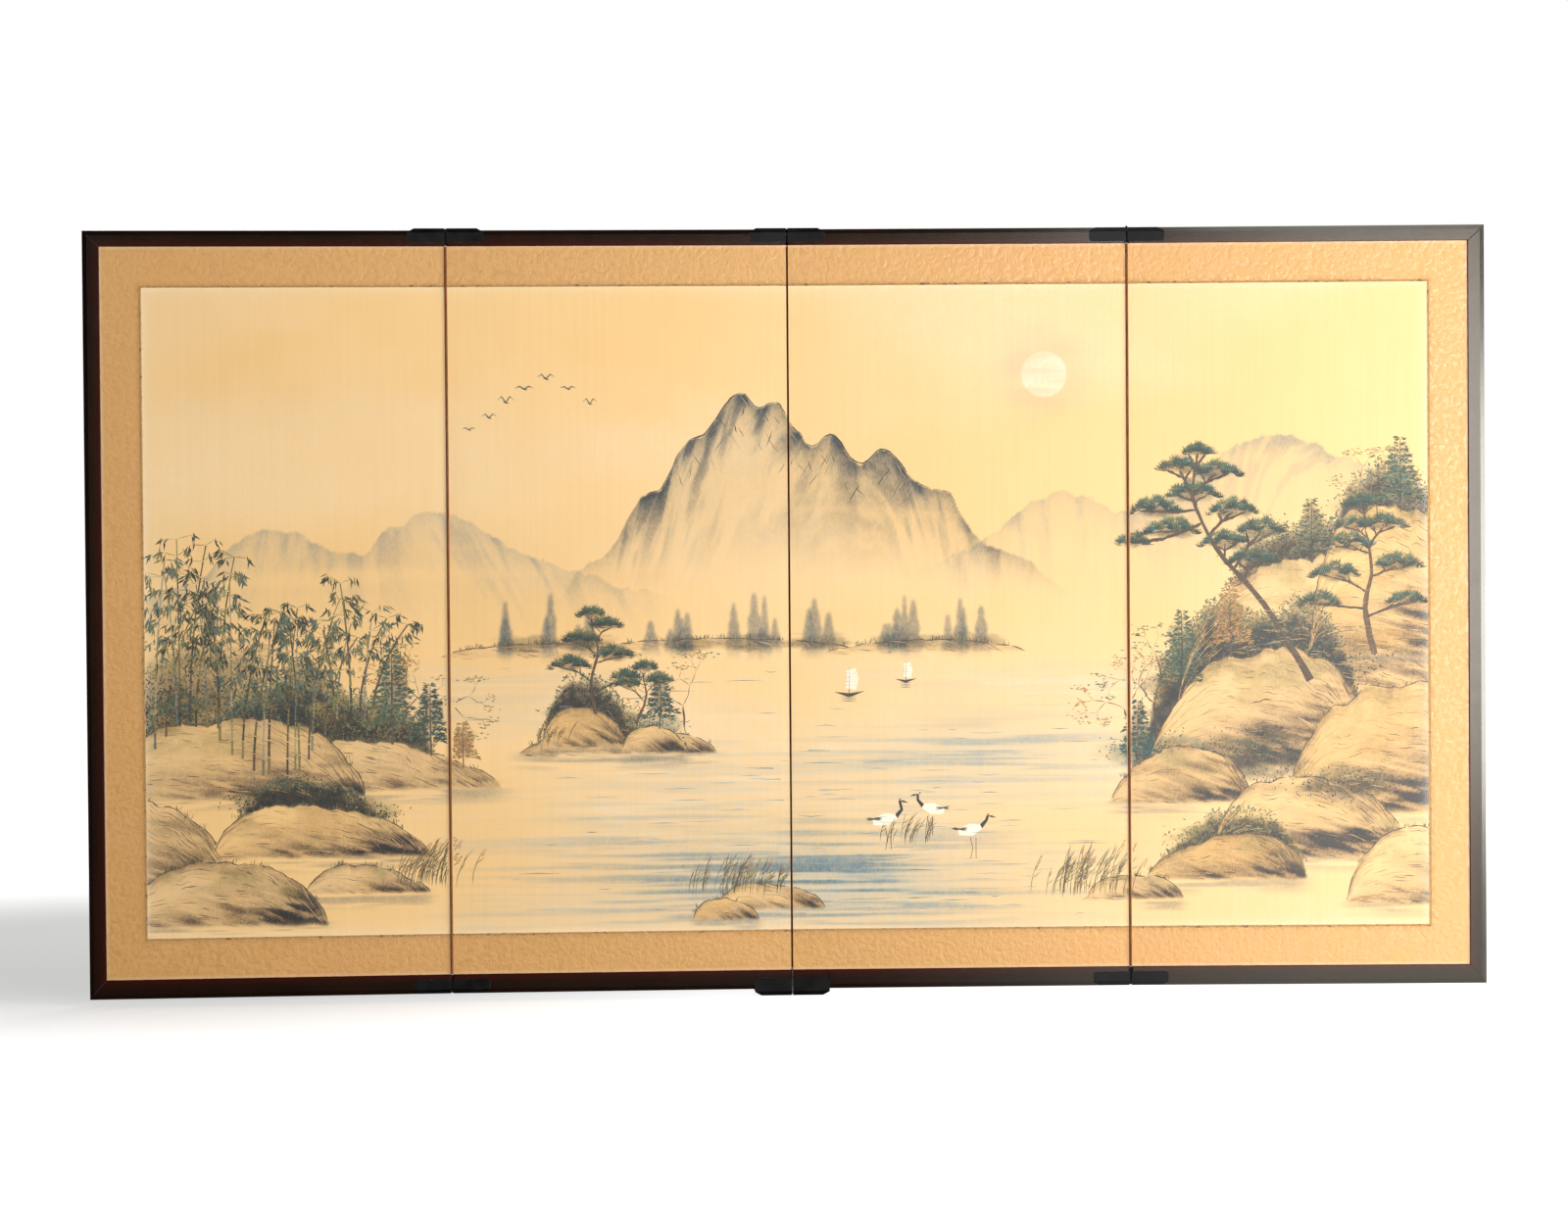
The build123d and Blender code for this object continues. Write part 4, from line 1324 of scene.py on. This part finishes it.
class Finish(Nodes):
    """A material's node tree. Its place is the point of the object, in the frame's metres."""

    def __init__(self, name):
        self.material = bpy.data.materials.new(name)
        self.material.use_nodes = True
        super().__init__(self.material.node_tree)
        self.shader = self.tree.nodes["Principled BSDF"]
        self.place = self.node("ShaderNodeTexCoord").outputs["Object"]

    def scaled(self, x, y, z):
        """The place in the object, stretched along each axis."""
        mapping = self.node("ShaderNodeMapping")
        self.feed(mapping.inputs["Vector"], self.place)
        mapping.inputs["Scale"].default_value = (x, y, z)
        return mapping.outputs["Vector"]

    def noise(self, vector, scale, detail, roughness=0.55, distortion=0):
        made = self.node("ShaderNodeTexNoise")
        self.feed(made.inputs["Vector"], vector)
        made.inputs["Scale"].default_value = scale
        made.inputs["Detail"].default_value = detail
        made.inputs["Roughness"].default_value = roughness
        made.inputs["Distortion"].default_value = distortion
        return made.outputs["Fac"]

    def warped(self, scale, size):
        """The place, shifted unevenly by up to about size."""
        shift = self.node("ShaderNodeTexNoise")
        self.feed(shift.inputs["Vector"], self.place)
        shift.inputs["Scale"].default_value = scale
        scaled = self.node("ShaderNodeVectorMath", operation="SCALE")
        self.feed(scaled.inputs[0], shift.outputs["Color"])
        scaled.inputs["Scale"].default_value = size
        total = self.node("ShaderNodeVectorMath", operation="ADD")
        self.feed(total.inputs[0], self.place)
        self.feed(total.inputs[1], scaled.outputs["Vector"])
        return total.outputs["Vector"]

    def cells(self, vector, scale):
        """The distance to the nearest edge between cells."""
        made = self.node("ShaderNodeTexVoronoi", feature="DISTANCE_TO_EDGE")
        self.feed(made.inputs["Vector"], vector)
        made.inputs["Scale"].default_value = scale
        return made.outputs["Distance"]

    def wave(self, vector, scale, distortion=0, direction="X"):
        made = self.node("ShaderNodeTexWave", bands_direction=direction)
        self.feed(made.inputs["Vector"], vector)
        made.inputs["Scale"].default_value = scale
        made.inputs["Distortion"].default_value = distortion
        return made.outputs["Fac"]

    def mix(self, share, a, b, blend="MIX"):
        made = self.node("ShaderNodeMix", data_type="RGBA", blend_type=blend)
        self.feed(made.inputs["Factor"], share)
        self.feed(made.inputs["A"], a)
        self.feed(made.inputs["B"], b)
        return made.outputs["Result"]

    def bump(self, height, distance, strength, under=None):
        made = self.node("ShaderNodeBump")
        self.feed(made.inputs["Height"], height)
        made.inputs["Distance"].default_value = distance
        made.inputs["Strength"].default_value = strength
        if under is not None:
            self.feed(made.inputs["Normal"], under)
        return made.outputs["Normal"]

    def beyond_field(self):
        """How far the place is outside the paper field, across and up."""
        across = self.maths("ABSOLUTE", self.axis(self.place, "X"))
        up = self.apart(self.axis(self.place, "Z"), FIELD_MIDDLE)
        return self.maths("SUBTRACT", across, FIELD_REACH), self.maths("SUBTRACT", up, FIELD_HALF)

    def edges(self, radius):
        """1 on the solid's sharp edges, within the radius, and 0 on its faces."""
        rounded = self.node("ShaderNodeBevel", samples=4)
        rounded.inputs["Radius"].default_value = radius
        geometry = self.node("ShaderNodeNewGeometry")
        product = self.node("ShaderNodeVectorMath", operation="DOT_PRODUCT")
        self.feed(product.inputs[0], rounded.outputs["Normal"])
        self.feed(product.inputs[1], geometry.outputs["True Normal"])
        return self.span(product.outputs["Value"], 0.999, 0.9)

    def done(self, colour, roughness, normal, **others):
        """The material, with its shader fed. The shader's other inputs are named with _ for a space."""
        self.feed(self.shader.inputs["Base Color"], colour)
        self.feed(self.shader.inputs["Roughness"], roughness)
        self.feed(self.shader.inputs["Normal"], normal)
        for name, value in others.items():
            self.feed(self.shader.inputs[name.replace("_", " ")], value)
        return self.material


def weave(finish, thread):
    """The height of plain woven threads, thread metres apart."""
    upright = finish.wave(finish.place, 0.25 / thread)
    level = finish.wave(finish.place, 0.25 / thread, direction="Z")
    return finish.times(upright, level)


def silk_finish(name, ragged):
    """Gold-toned silk. The paint attribute is the share of its colour that the paint leaves."""
    finish = Finish(name)
    blotch = finish.noise(finish.place, 5, 5, 0.6)
    streak = finish.noise(finish.scaled(210, 210, 5), 1, 3, 0.6)
    slub = finish.noise(finish.scaled(14, 14, 900), 1, 2, 0.6)
    ground = SILK * (0.985, 0.965, 0.92)
    ground = finish.mix(finish.span(blotch, 0.3, 0.7), ground, SILK * (1.0, 1.015, 1.05))
    ground = finish.mix(finish.span(streak, 0.35, 0.75, 0, 0.4), ground, SILK * (0.95, 0.92, 0.86))
    ground = finish.mix(finish.span(slub, 0.55, 0.8, 0, 0.25), ground, SILK * (0.93, 0.9, 0.84))
    speck = finish.span(finish.noise(finish.place, 420, 2), 0.74, 0.8, 0, 0.35)
    ground = finish.mix(speck, ground, EARTH)
    paint = finish.node("ShaderNodeAttribute", attribute_name="paint").outputs["Color"]
    dry = finish.noise(finish.scaled(620, 620, 240), 1, 4, 0.75)
    pooled = finish.noise(finish.place, 75, 4, 0.7)
    dense = finish.span(dry, 0.3, 0.72, 1 - ragged, 1 + ragged)
    density = finish.add(dense, finish.span(pooled, 0.3, 0.7, -ragged / 2, ragged / 2))
    gamma = finish.node("ShaderNodeGamma")
    finish.feed(gamma.inputs["Color"], paint)
    finish.feed(gamma.inputs["Gamma"], density)
    colour = finish.mix(1.0, ground, gamma.outputs["Color"], "MULTIPLY")
    threads = weave(finish, 0.45 * MM)
    height = finish.add(threads, finish.times(slub, 1.6))
    normal = finish.bump(height, 0.00004, 0.5, finish.bump(streak, 0.0002, 0.35))
    roughness = finish.span(blotch, 0.3, 0.7, 0.44, 0.52)
    sheen = {"Sheen_Weight": 0.02, "Sheen_Roughness": 0.4}
    return finish.done(colour, roughness, normal, Specular_IOR_Level=0.75, **sheen)


def border_finish():
    """Gold paper, crumpled and smoothed out again. Its creases are bumped, with painted shade in the larger
    ones and a painted highlight on the fine ones.
    """
    finish = Finish("crumpled_gold_paper")
    warped = finish.warped(70, 0.006)
    crease = finish.cells(warped, 70)
    fine = finish.cells(warped, 190)
    mottle = finish.noise(warped, 170, 4, 0.6)
    blotch = finish.noise(finish.place, 9, 4, 0.6)
    gold = linear(218, 162, 89)
    colour = gold * (0.94, 0.91, 0.84)
    colour = finish.mix(finish.span(mottle, 0.34, 0.66), colour, gold * (1.05, 1.08, 1.14))
    # Painted shade: darker lines in the creases.
    colour = finish.mix(finish.span(crease, 0.0, 0.16, 0.08, 0), colour, gold * (0.8, 0.74, 0.62))
    # Painted highlight: paler, cooler lines along the fine creases.
    colour = finish.mix(finish.span(fine, 0.0, 0.1, 0.1, 0), colour, gold * (1.1, 1.15, 1.3))
    colour = finish.mix(finish.span(blotch, 0.35, 0.7, 0, 0.5), colour, gold * (0.97, 0.99, 0.8))
    tinge = finish.noise(finish.scaled(5, 5, 14), 1, 3, 0.6)
    colour = finish.mix(finish.span(tinge, 0.45, 0.7, 0, 0.5), colour, gold * (1.0, 0.95, 0.96))
    outside = finish.larger(*finish.beyond_field())
    # Painted shadow: a darker, mottled band on the border beside the trim.
    by_trim = finish.span(outside, -0.046, -0.039, 1, 0)
    trim_shadow = finish.times(by_trim, finish.span(mottle, 0.38, 0.62, 0.1, 0.9))
    colour = finish.mix(trim_shadow, colour, gold * (0.8, 0.77, 0.68))
    # Painted highlight: a pale pinkish line on the border along the moulding's inner edge.
    colour = finish.mix(finish.span(outside, -0.005, -0.001, 0, 0.4), colour, linear(236, 200, 158))
    creased = finish.times(finish.span(crease, 0, 0.4), 0.25)
    height = finish.add(finish.times(finish.span(fine, 0, 0.4), 0.12), creased)
    height = finish.add(height, finish.span(mottle, 0.25, 0.75))
    normal = finish.bump(height, 0.0005, 0.5)
    roughness = finish.span(mottle, 0.36, 0.64, 0.34, 0.6)
    return finish.done(colour, roughness, normal, Metallic=0.08, Specular_IOR_Level=1.0)


def trim_finish():
    """A narrow frayed band: olive-brown thread, worn through to gold, with dark knots."""
    finish = Finish("frayed_trim")
    worn = finish.noise(finish.place, 260, 4, 0.7)
    knots = finish.noise(finish.place, 150, 3, 0.6)
    gold = linear(224, 178, 106)
    outside = finish.larger(*finish.beyond_field())
    from_line = finish.maths("ABSOLUTE", finish.add(outside, TRIM_LINE))
    frayed = finish.add(from_line, finish.span(worn, 0.3, 0.7, -0.0008, 0.0006))
    colour = finish.mix(finish.span(frayed, 0.0008, 0.0018), linear(186, 142, 82), gold)
    colour = finish.mix(finish.span(knots, 0.57, 0.65, 0, 0.9), colour, linear(124, 92, 52))
    twist = finish.wave(finish.place, 420, 1.5, "DIAGONAL")
    normal = finish.bump(finish.add(worn, finish.times(twist, 0.5)), 0.0004, 0.8)
    return finish.done(colour, 0.62, normal, Sheen_Weight=0.2, Sheen_Roughness=0.5)


def lacquer_finish():
    """Dark brown lacquer, painted lighter and redder on the slanting inner edge as the light it catches,
    rubbed paler along its arrises.
    """
    finish = Finish("brown_lacquer")
    across, up = finish.beyond_field()
    outside = finish.larger(across, up)
    # inner: the band by the slanting inner edge, painted lighter and redder as the light that edge catches.
    inner = finish.times(finish.span(outside, 0.012, 0.0), finish.span(outside, -0.002, 0.0))
    height = finish.axis(finish.place, "Z")
    slant = finish.span(height, FIELD_MIDDLE - 0.1, FIELD_MIDDLE + 0.1, BOTTOM_MITRE, TOP_MITRE)
    from_mitre = finish.apart(finish.times(across, slant), up)
    mitre = finish.times(finish.span(from_mitre, 0.0009, 0.0004), finish.span(across, 0.0, 0.0005))
    depth = finish.noise(finish.place, 9, 4, 0.6)
    grain_line = finish.noise(finish.scaled(60, 60, 60), 1, 5, 0.7)
    colour = finish.mix(finish.span(depth, 0.3, 0.7), linear(24, 12, 6), linear(34, 15, 7))
    # Painted light: the inner edge's band in a lighter, redder brown.
    colour = finish.mix(inner, colour, linear(54, 14, 6))
    colour = finish.mix(mitre, colour, linear(14, 6, 4))
    patchy = finish.span(finish.noise(finish.place, 55, 4), 0.5, 0.7, 0, 0.3)
    rub = finish.times(finish.edges(0.0009), patchy)
    colour = finish.mix(rub, colour, linear(96, 60, 38))
    dust = finish.span(finish.noise(finish.place, 900, 2), 0.68, 0.76, 0, 0.03)
    colour = finish.mix(dust, colour, linear(150, 138, 120))
    roughness = finish.add(finish.span(grain_line, 0.3, 0.7, 0.185, 0.21), finish.times(rub, 0.2))
    roughness = finish.add(roughness, finish.times(mitre, 0.5))
    fine = finish.bump(finish.noise(finish.place, 520, 3), 0.00002, 0.25)
    normal = finish.bump(depth, 0.0005, 0.2, fine)
    warm = (1.0, 0.97, 0.84)
    return finish.done(colour, roughness, normal, Specular_IOR_Level=0.46, Specular_Tint=warm)


def shoe_finish():
    """Black japanned metal, worn bright at its corners."""
    finish = Finish("black_japanned_metal")
    orange_peel = finish.noise(finish.place, 700, 3, 0.6)
    smudge = finish.noise(finish.place, 60, 4, 0.6)
    colour = finish.mix(finish.span(smudge, 0.3, 0.7), linear(9, 9, 9), linear(17, 18, 17))
    patchy = finish.span(finish.noise(finish.place, 240, 4), 0.5, 0.66, 0, 0.85)
    worn = finish.times(finish.edges(0.0006), patchy)
    colour = finish.mix(worn, colour, linear(120, 112, 100))
    normal = finish.bump(orange_peel, 0.00005, 0.6)
    return finish.done(colour, finish.span(smudge, 0.3, 0.7, 0.3, 0.42), normal, Specular_IOR_Level=0.16)


def hinge_finish():
    """Tough brown hinge paper, rubbed along the fold, and painted nearly black at the rails' height as the
    shade in the gaps there.
    """
    finish = Finish("hinge_paper")
    fibres = finish.noise(finish.scaled(500, 500, 60), 1, 4, 0.7)
    patches = finish.noise(finish.place, 40, 4, 0.6)
    colour = finish.mix(finish.span(fibres, 0.3, 0.7), linear(112, 62, 36), linear(150, 92, 54))
    colour = finish.mix(finish.span(patches, 0.45, 0.75, 0, 0.6), colour, linear(76, 38, 22))
    # Painted shade: between the rails' ends the paper is nearly black, for the shade in the fold's gap.
    level = finish.apart(finish.axis(finish.place, "Z"), FIELD_MIDDLE)
    rail_gap_shade = finish.span(level, FIELD_HALF - 0.001, FIELD_HALF + 0.001)
    colour = finish.mix(rail_gap_shade, colour, linear(12, 9, 8))
    colour = finish.mix(finish.span(finish.edges(0.0004), 0.4, 1, 0, 0.3), colour, linear(176, 140, 90))
    return finish.done(colour, 0.8, finish.bump(fibres, 0.0002, 0.6), Specular_IOR_Level=0.25)


def back_finish():
    """Dark blue-green backing paper with a printed lattice of lozenges, each with a dot."""
    finish = Finish("backing_paper")
    x = finish.axis(finish.place, "X")
    z = finish.axis(finish.place, "Z")
    wide = finish.maths("PINGPONG", finish.times(x, 1 / LOZENGE[0]), 0.5)
    tall = finish.maths("PINGPONG", finish.times(z, 1 / LOZENGE[1]), 0.5)
    total = finish.add(wide, tall)
    line = finish.span(finish.apart(total, 0.5), 0.02, 0.055, 1, 0)
    inner = finish.span(finish.apart(total, 0.33), 0.01, 0.03, 0.6, 0)
    dot = finish.add(finish.span(total, 0.05, 0.09, 1, 0), finish.span(total, 0.91, 0.95, 0, 1))
    printed = finish.larger(finish.larger(line, inner), dot)
    fibres = finish.noise(finish.scaled(420, 420, 120), 1, 4, 0.7)
    patches = finish.noise(finish.place, 6, 5, 0.6)
    worn = finish.times(printed, finish.span(fibres, 0.25, 0.6, 0.35, 0.95))
    base = finish.mix(finish.span(patches, 0.3, 0.7), linear(52, 74, 76), linear(66, 90, 90))
    colour = finish.mix(worn, base, linear(142, 146, 116))
    colour = finish.mix(finish.span(fibres, 0.6, 0.8, 0, 0.2), colour, linear(120, 120, 104))
    normal = finish.bump(finish.add(fibres, finish.times(printed, 0.6)), 0.00012, 0.6)
    roughness = finish.span(fibres, 0.3, 0.7, 0.66, 0.8)
    return finish.done(colour, roughness, normal, Specular_IOR_Level=0.16)


def underpaper_finish():
    """Unbleached mulberry paper with long fibres."""
    finish = Finish("mulberry_underpaper")
    fibres = finish.noise(finish.scaled(90, 90, 700), 1, 5, 0.75, 1.2)
    patches = finish.noise(finish.place, 14, 4, 0.6)
    colour = finish.mix(finish.span(patches, 0.3, 0.7), linear(222, 204, 168), linear(238, 224, 194))
    colour = finish.mix(finish.span(fibres, 0.58, 0.72, 0, 0.55), colour, linear(190, 164, 120))
    return finish.done(colour, 0.82, finish.bump(fibres, 0.0002, 0.6), Specular_IOR_Level=0.2)


def core_finish():
    """Straight-grained cedar, as split for screens: pale, with close darker rings."""
    finish = Finish("cedar")
    bent = finish.noise(finish.place, 3, 3)
    rings = finish.wave(finish.scaled(1, 1, 0.06), 34, 3.0)
    pores = finish.noise(finish.scaled(600, 600, 30), 1, 4, 0.7)
    colour = finish.mix(rings, linear(206, 166, 116), linear(178, 132, 84))
    colour = finish.mix(finish.span(pores, 0.5, 0.75, 0, 0.5), colour, linear(140, 98, 60))
    colour = finish.mix(finish.span(bent, 0.4, 0.7, 0, 0.3), colour, linear(220, 184, 136))
    roughness = finish.span(pores, 0.3, 0.7, 0.6, 0.75)
    return finish.done(colour, roughness, finish.bump(pores, 0.00025, 0.6), Specular_IOR_Level=0.3)


def nail_finish():
    """Forged iron with a little rust."""
    finish = Finish("forged_iron")
    hammered = finish.noise(finish.place, 900, 4, 0.6)
    rust = finish.span(finish.noise(finish.place, 420, 5, 0.7), 0.45, 0.65)
    colour = finish.mix(rust, linear(96, 94, 92), linear(118, 66, 38))
    roughness = finish.span(rust, 0, 1, 0.42, 0.8)
    metal = finish.span(rust, 0, 1, 1, 0.1)
    return finish.done(colour, roughness, finish.bump(hammered, 0.0001, 0.7), Metallic=metal)


def finish_nodes():
    """Gives every CAD node its slot's finish, and returns the finishes by slot."""
    finishes = {
        "lacquer": lacquer_finish(),
        "border_paper": border_finish(),
        "border_trim": trim_finish(),
        "shoe_metal": shoe_finish(),
        "hinge_paper": hinge_finish(),
        "back_paper": back_finish(),
        "underpaper": underpaper_finish(),
        "core_wood": core_finish(),
        "nail_iron": nail_finish(),
        "picture_silk": silk_finish("painted_silk", 0.3),
    }
    for node in frame["nodes"].values():
        for place in node.material_slots:
            slot = place.material.name.split(".")[0]
            place.material = finishes[slot]
    return finishes


# ---------------------------------------------------------------- stage, light and camera

# The camera's place in metres, its turns in degrees and its lens in millimetres.
CAMERA_PLACE = (-0.2, -4.7475, 0.5604)
CAMERA_YAW = -2.3293
CAMERA_PITCH = -1.1754
CAMERA_ROLL = -0.4350
CAMERA_LENS = 91.29
SENSOR = 36.0
FLOOR_SIZE = 60.0
WORLD_LEVEL = 0.2
# How bright the room before the screen is in a gloss.
DIM_SIDE = 0.02
FLOOR_COLOUR = 0.5
# How bright the floor glows close to the screen.
FLOOR_GLOW = 0.44
# How bright the floor's glow is in a gloss, on the dark side and on the window's side, and where it turns:
# painted light from the window.
FLOOR_IN_GLOSS = (0.05, 2.1)
FLOOR_TURN = (0.05, 0.7)
# The floor's glow grows with the distance from this point, between these two distances.
FADE_MIDDLE = (-0.8, 0.6, 0)
FADE_REACH = (0.4, 1.25)

# The lamps: (name, place, target, size, power).
LAMPS = (
    ("window", (1.66, -4.3, 0.52), (0.2, 0, 0.4), (1.9, 1.5), 101),
    ("side_lamp", (2.8, -1.46, 0.44), (0.3, 0, 0.2), (1.6, 0.8), 84),
    ("left_lamp", (-1.8, -3.4, 1.3), (-0.5, 0, 0.45), (1.0, 1.0), 9),
    ("back_lamp", (1.3, 3.0, 1.7), (0, 0, 0.4), (1.8, 1.4), 46),
    ("high_lamp", (0.95, -1.1, 2.8), (0.5, 0, 0.3), (0.64, 0.64), 7),
)


def add_camera():
    """The camera of the picture, a little left of the screen's middle and above it."""
    yaw = Matrix.Rotation(math.radians(CAMERA_YAW), 3, "Z")
    turned = yaw @ Matrix.Rotation(math.radians(CAMERA_PITCH), 3, "X")
    right, forward, up = turned.col
    roll = math.radians(CAMERA_ROLL)
    side = right * math.cos(roll) + up * math.sin(roll)
    top = up * math.cos(roll) - right * math.sin(roll)
    data = bpy.data.cameras.new("camera")
    data.lens = CAMERA_LENS
    data.sensor_width = SENSOR
    data.sensor_fit = "HORIZONTAL"
    data.clip_end = 200
    camera = bpy.data.objects.new("camera", data)
    turned = Matrix((side, top, -forward)).transposed().to_4x4()
    camera.matrix_world = Matrix.Translation(CAMERA_PLACE) @ turned
    bpy.context.collection.objects.link(camera)
    bpy.context.scene.camera = camera


def seen_directly(nodes, reflected=1.0):
    """1 for what the camera sees itself, reflected for what it sees in a gloss, and 0 for other light."""
    path = nodes.node("ShaderNodeLightPath")
    total = path.outputs["Is Camera Ray"]
    for name in ("Is Glossy Ray", "Is Transmission Ray"):
        total = nodes.larger(total, nodes.times(path.outputs[name], reflected))
    return total


def add_area(name, place, target, size, power):
    data = bpy.data.lights.new(name, "AREA")
    data.shape = "RECTANGLE"
    data.size, data.size_y = size
    data.energy = power
    lamp = bpy.data.objects.new(name, data)
    lamp.location = place
    lamp.rotation_euler = (Vector(target) - Vector(place)).to_track_quat("-Z", "Y").to_euler()
    lamp.visible_camera = False
    bpy.context.collection.objects.link(lamp)


def add_world():
    """A plain pale room: white to the camera, and in a gloss white behind the screen and dim before it."""
    world = bpy.data.worlds.new("room")
    bpy.context.scene.world = world
    world.use_nodes = True
    world.node_tree.nodes.clear()
    room = Nodes(world.node_tree)
    direction = room.node("ShaderNodeTexCoord").outputs["Generated"]
    behind = room.span(room.axis(direction, "Y"), 0.0, 0.5, DIM_SIDE, 1.0)
    right = room.span(room.axis(direction, "X"), 0.6, 0.9)
    looked_at = room.node("ShaderNodeLightPath").outputs["Is Camera Ray"]
    light = room.node("ShaderNodeBackground")
    room.feed(light.inputs["Color"], (1.0, 0.96, 0.9))
    light.inputs["Strength"].default_value = WORLD_LEVEL
    seen = room.node("ShaderNodeBackground")
    room.feed(seen.inputs["Color"], (1, 1, 1))
    room.feed(seen.inputs["Strength"], room.larger(looked_at, room.larger(right, behind)))
    either = room.node("ShaderNodeMixShader")
    room.feed(either.inputs[0], seen_directly(room))
    room.feed(either.inputs[1], light.outputs[0])
    room.feed(either.inputs[2], seen.outputs[0])
    room.feed(room.node("ShaderNodeOutputWorld").inputs["Surface"], either.outputs[0])


def floor_material():
    """Plain and pale, with a glow that grows to full white away from the screen."""
    material = bpy.data.materials.new("floor")
    material.use_nodes = True
    material.node_tree.nodes.clear()
    floor = Nodes(material.node_tree)
    place = floor.node("ShaderNodeTexCoord").outputs["Object"]
    away = floor.node("ShaderNodeVectorMath", operation="DISTANCE")
    floor.feed(away.inputs[0], place)
    away.inputs[1].default_value = FADE_MIDDLE
    fade = floor.span(away.outputs["Value"], *FADE_REACH, FLOOR_GLOW, 1.0)
    # Painted light: in a gloss the floor glows dim on the dark side and brighter than white on the window's
    # side.
    in_gloss = floor.span(floor.axis(place, "X"), *FLOOR_TURN, *FLOOR_IN_GLOSS)
    glow = floor.node("ShaderNodeEmission")
    floor.feed(glow.inputs["Strength"], floor.times(seen_directly(floor, in_gloss), fade))
    glossy = floor.node("ShaderNodeLightPath").outputs["Is Glossy Ray"]
    lit = floor.node("ShaderNodeBsdfDiffuse")
    floor.feed(lit.inputs["Color"], floor.span(glossy, 0, 1, FLOOR_COLOUR, 0))
    total = floor.node("ShaderNodeAddShader")
    floor.feed(total.inputs[0], lit.outputs[0])
    floor.feed(total.inputs[1], glow.outputs[0])
    floor.feed(floor.node("ShaderNodeOutputMaterial").inputs["Surface"], total.outputs[0])
    return material


def add_floor():
    """A white floor that keeps the screen's shadow close to it and fades to plain white further out."""
    mesh = bpy.data.meshes.new("floor")
    half = FLOOR_SIZE / 2
    corners = [(-half, -half, 0), (half, -half, 0), (half, half, 0), (-half, half, 0)]
    mesh.from_pydata(corners, [], [(0, 1, 2, 3)])
    mesh.materials.append(floor_material())
    floor = bpy.data.objects.new("floor", mesh)
    bpy.context.collection.objects.link(floor)


finishes = finish_nodes()
strokes = draw_picture()
brushed_ink = silk_finish("brushed_ink", 0.12)
for panel in PANELS:
    dress_panel(panel, strokes, finishes["picture_silk"], brushed_ink)
bridge_folds(finishes["hinge_paper"])
edge_shoes(finishes["shoe_metal"])
add_camera()
add_world()
add_floor()
for lamp in LAMPS:
    add_area(*lamp)
bpy.context.scene.view_settings.view_transform = "Standard"
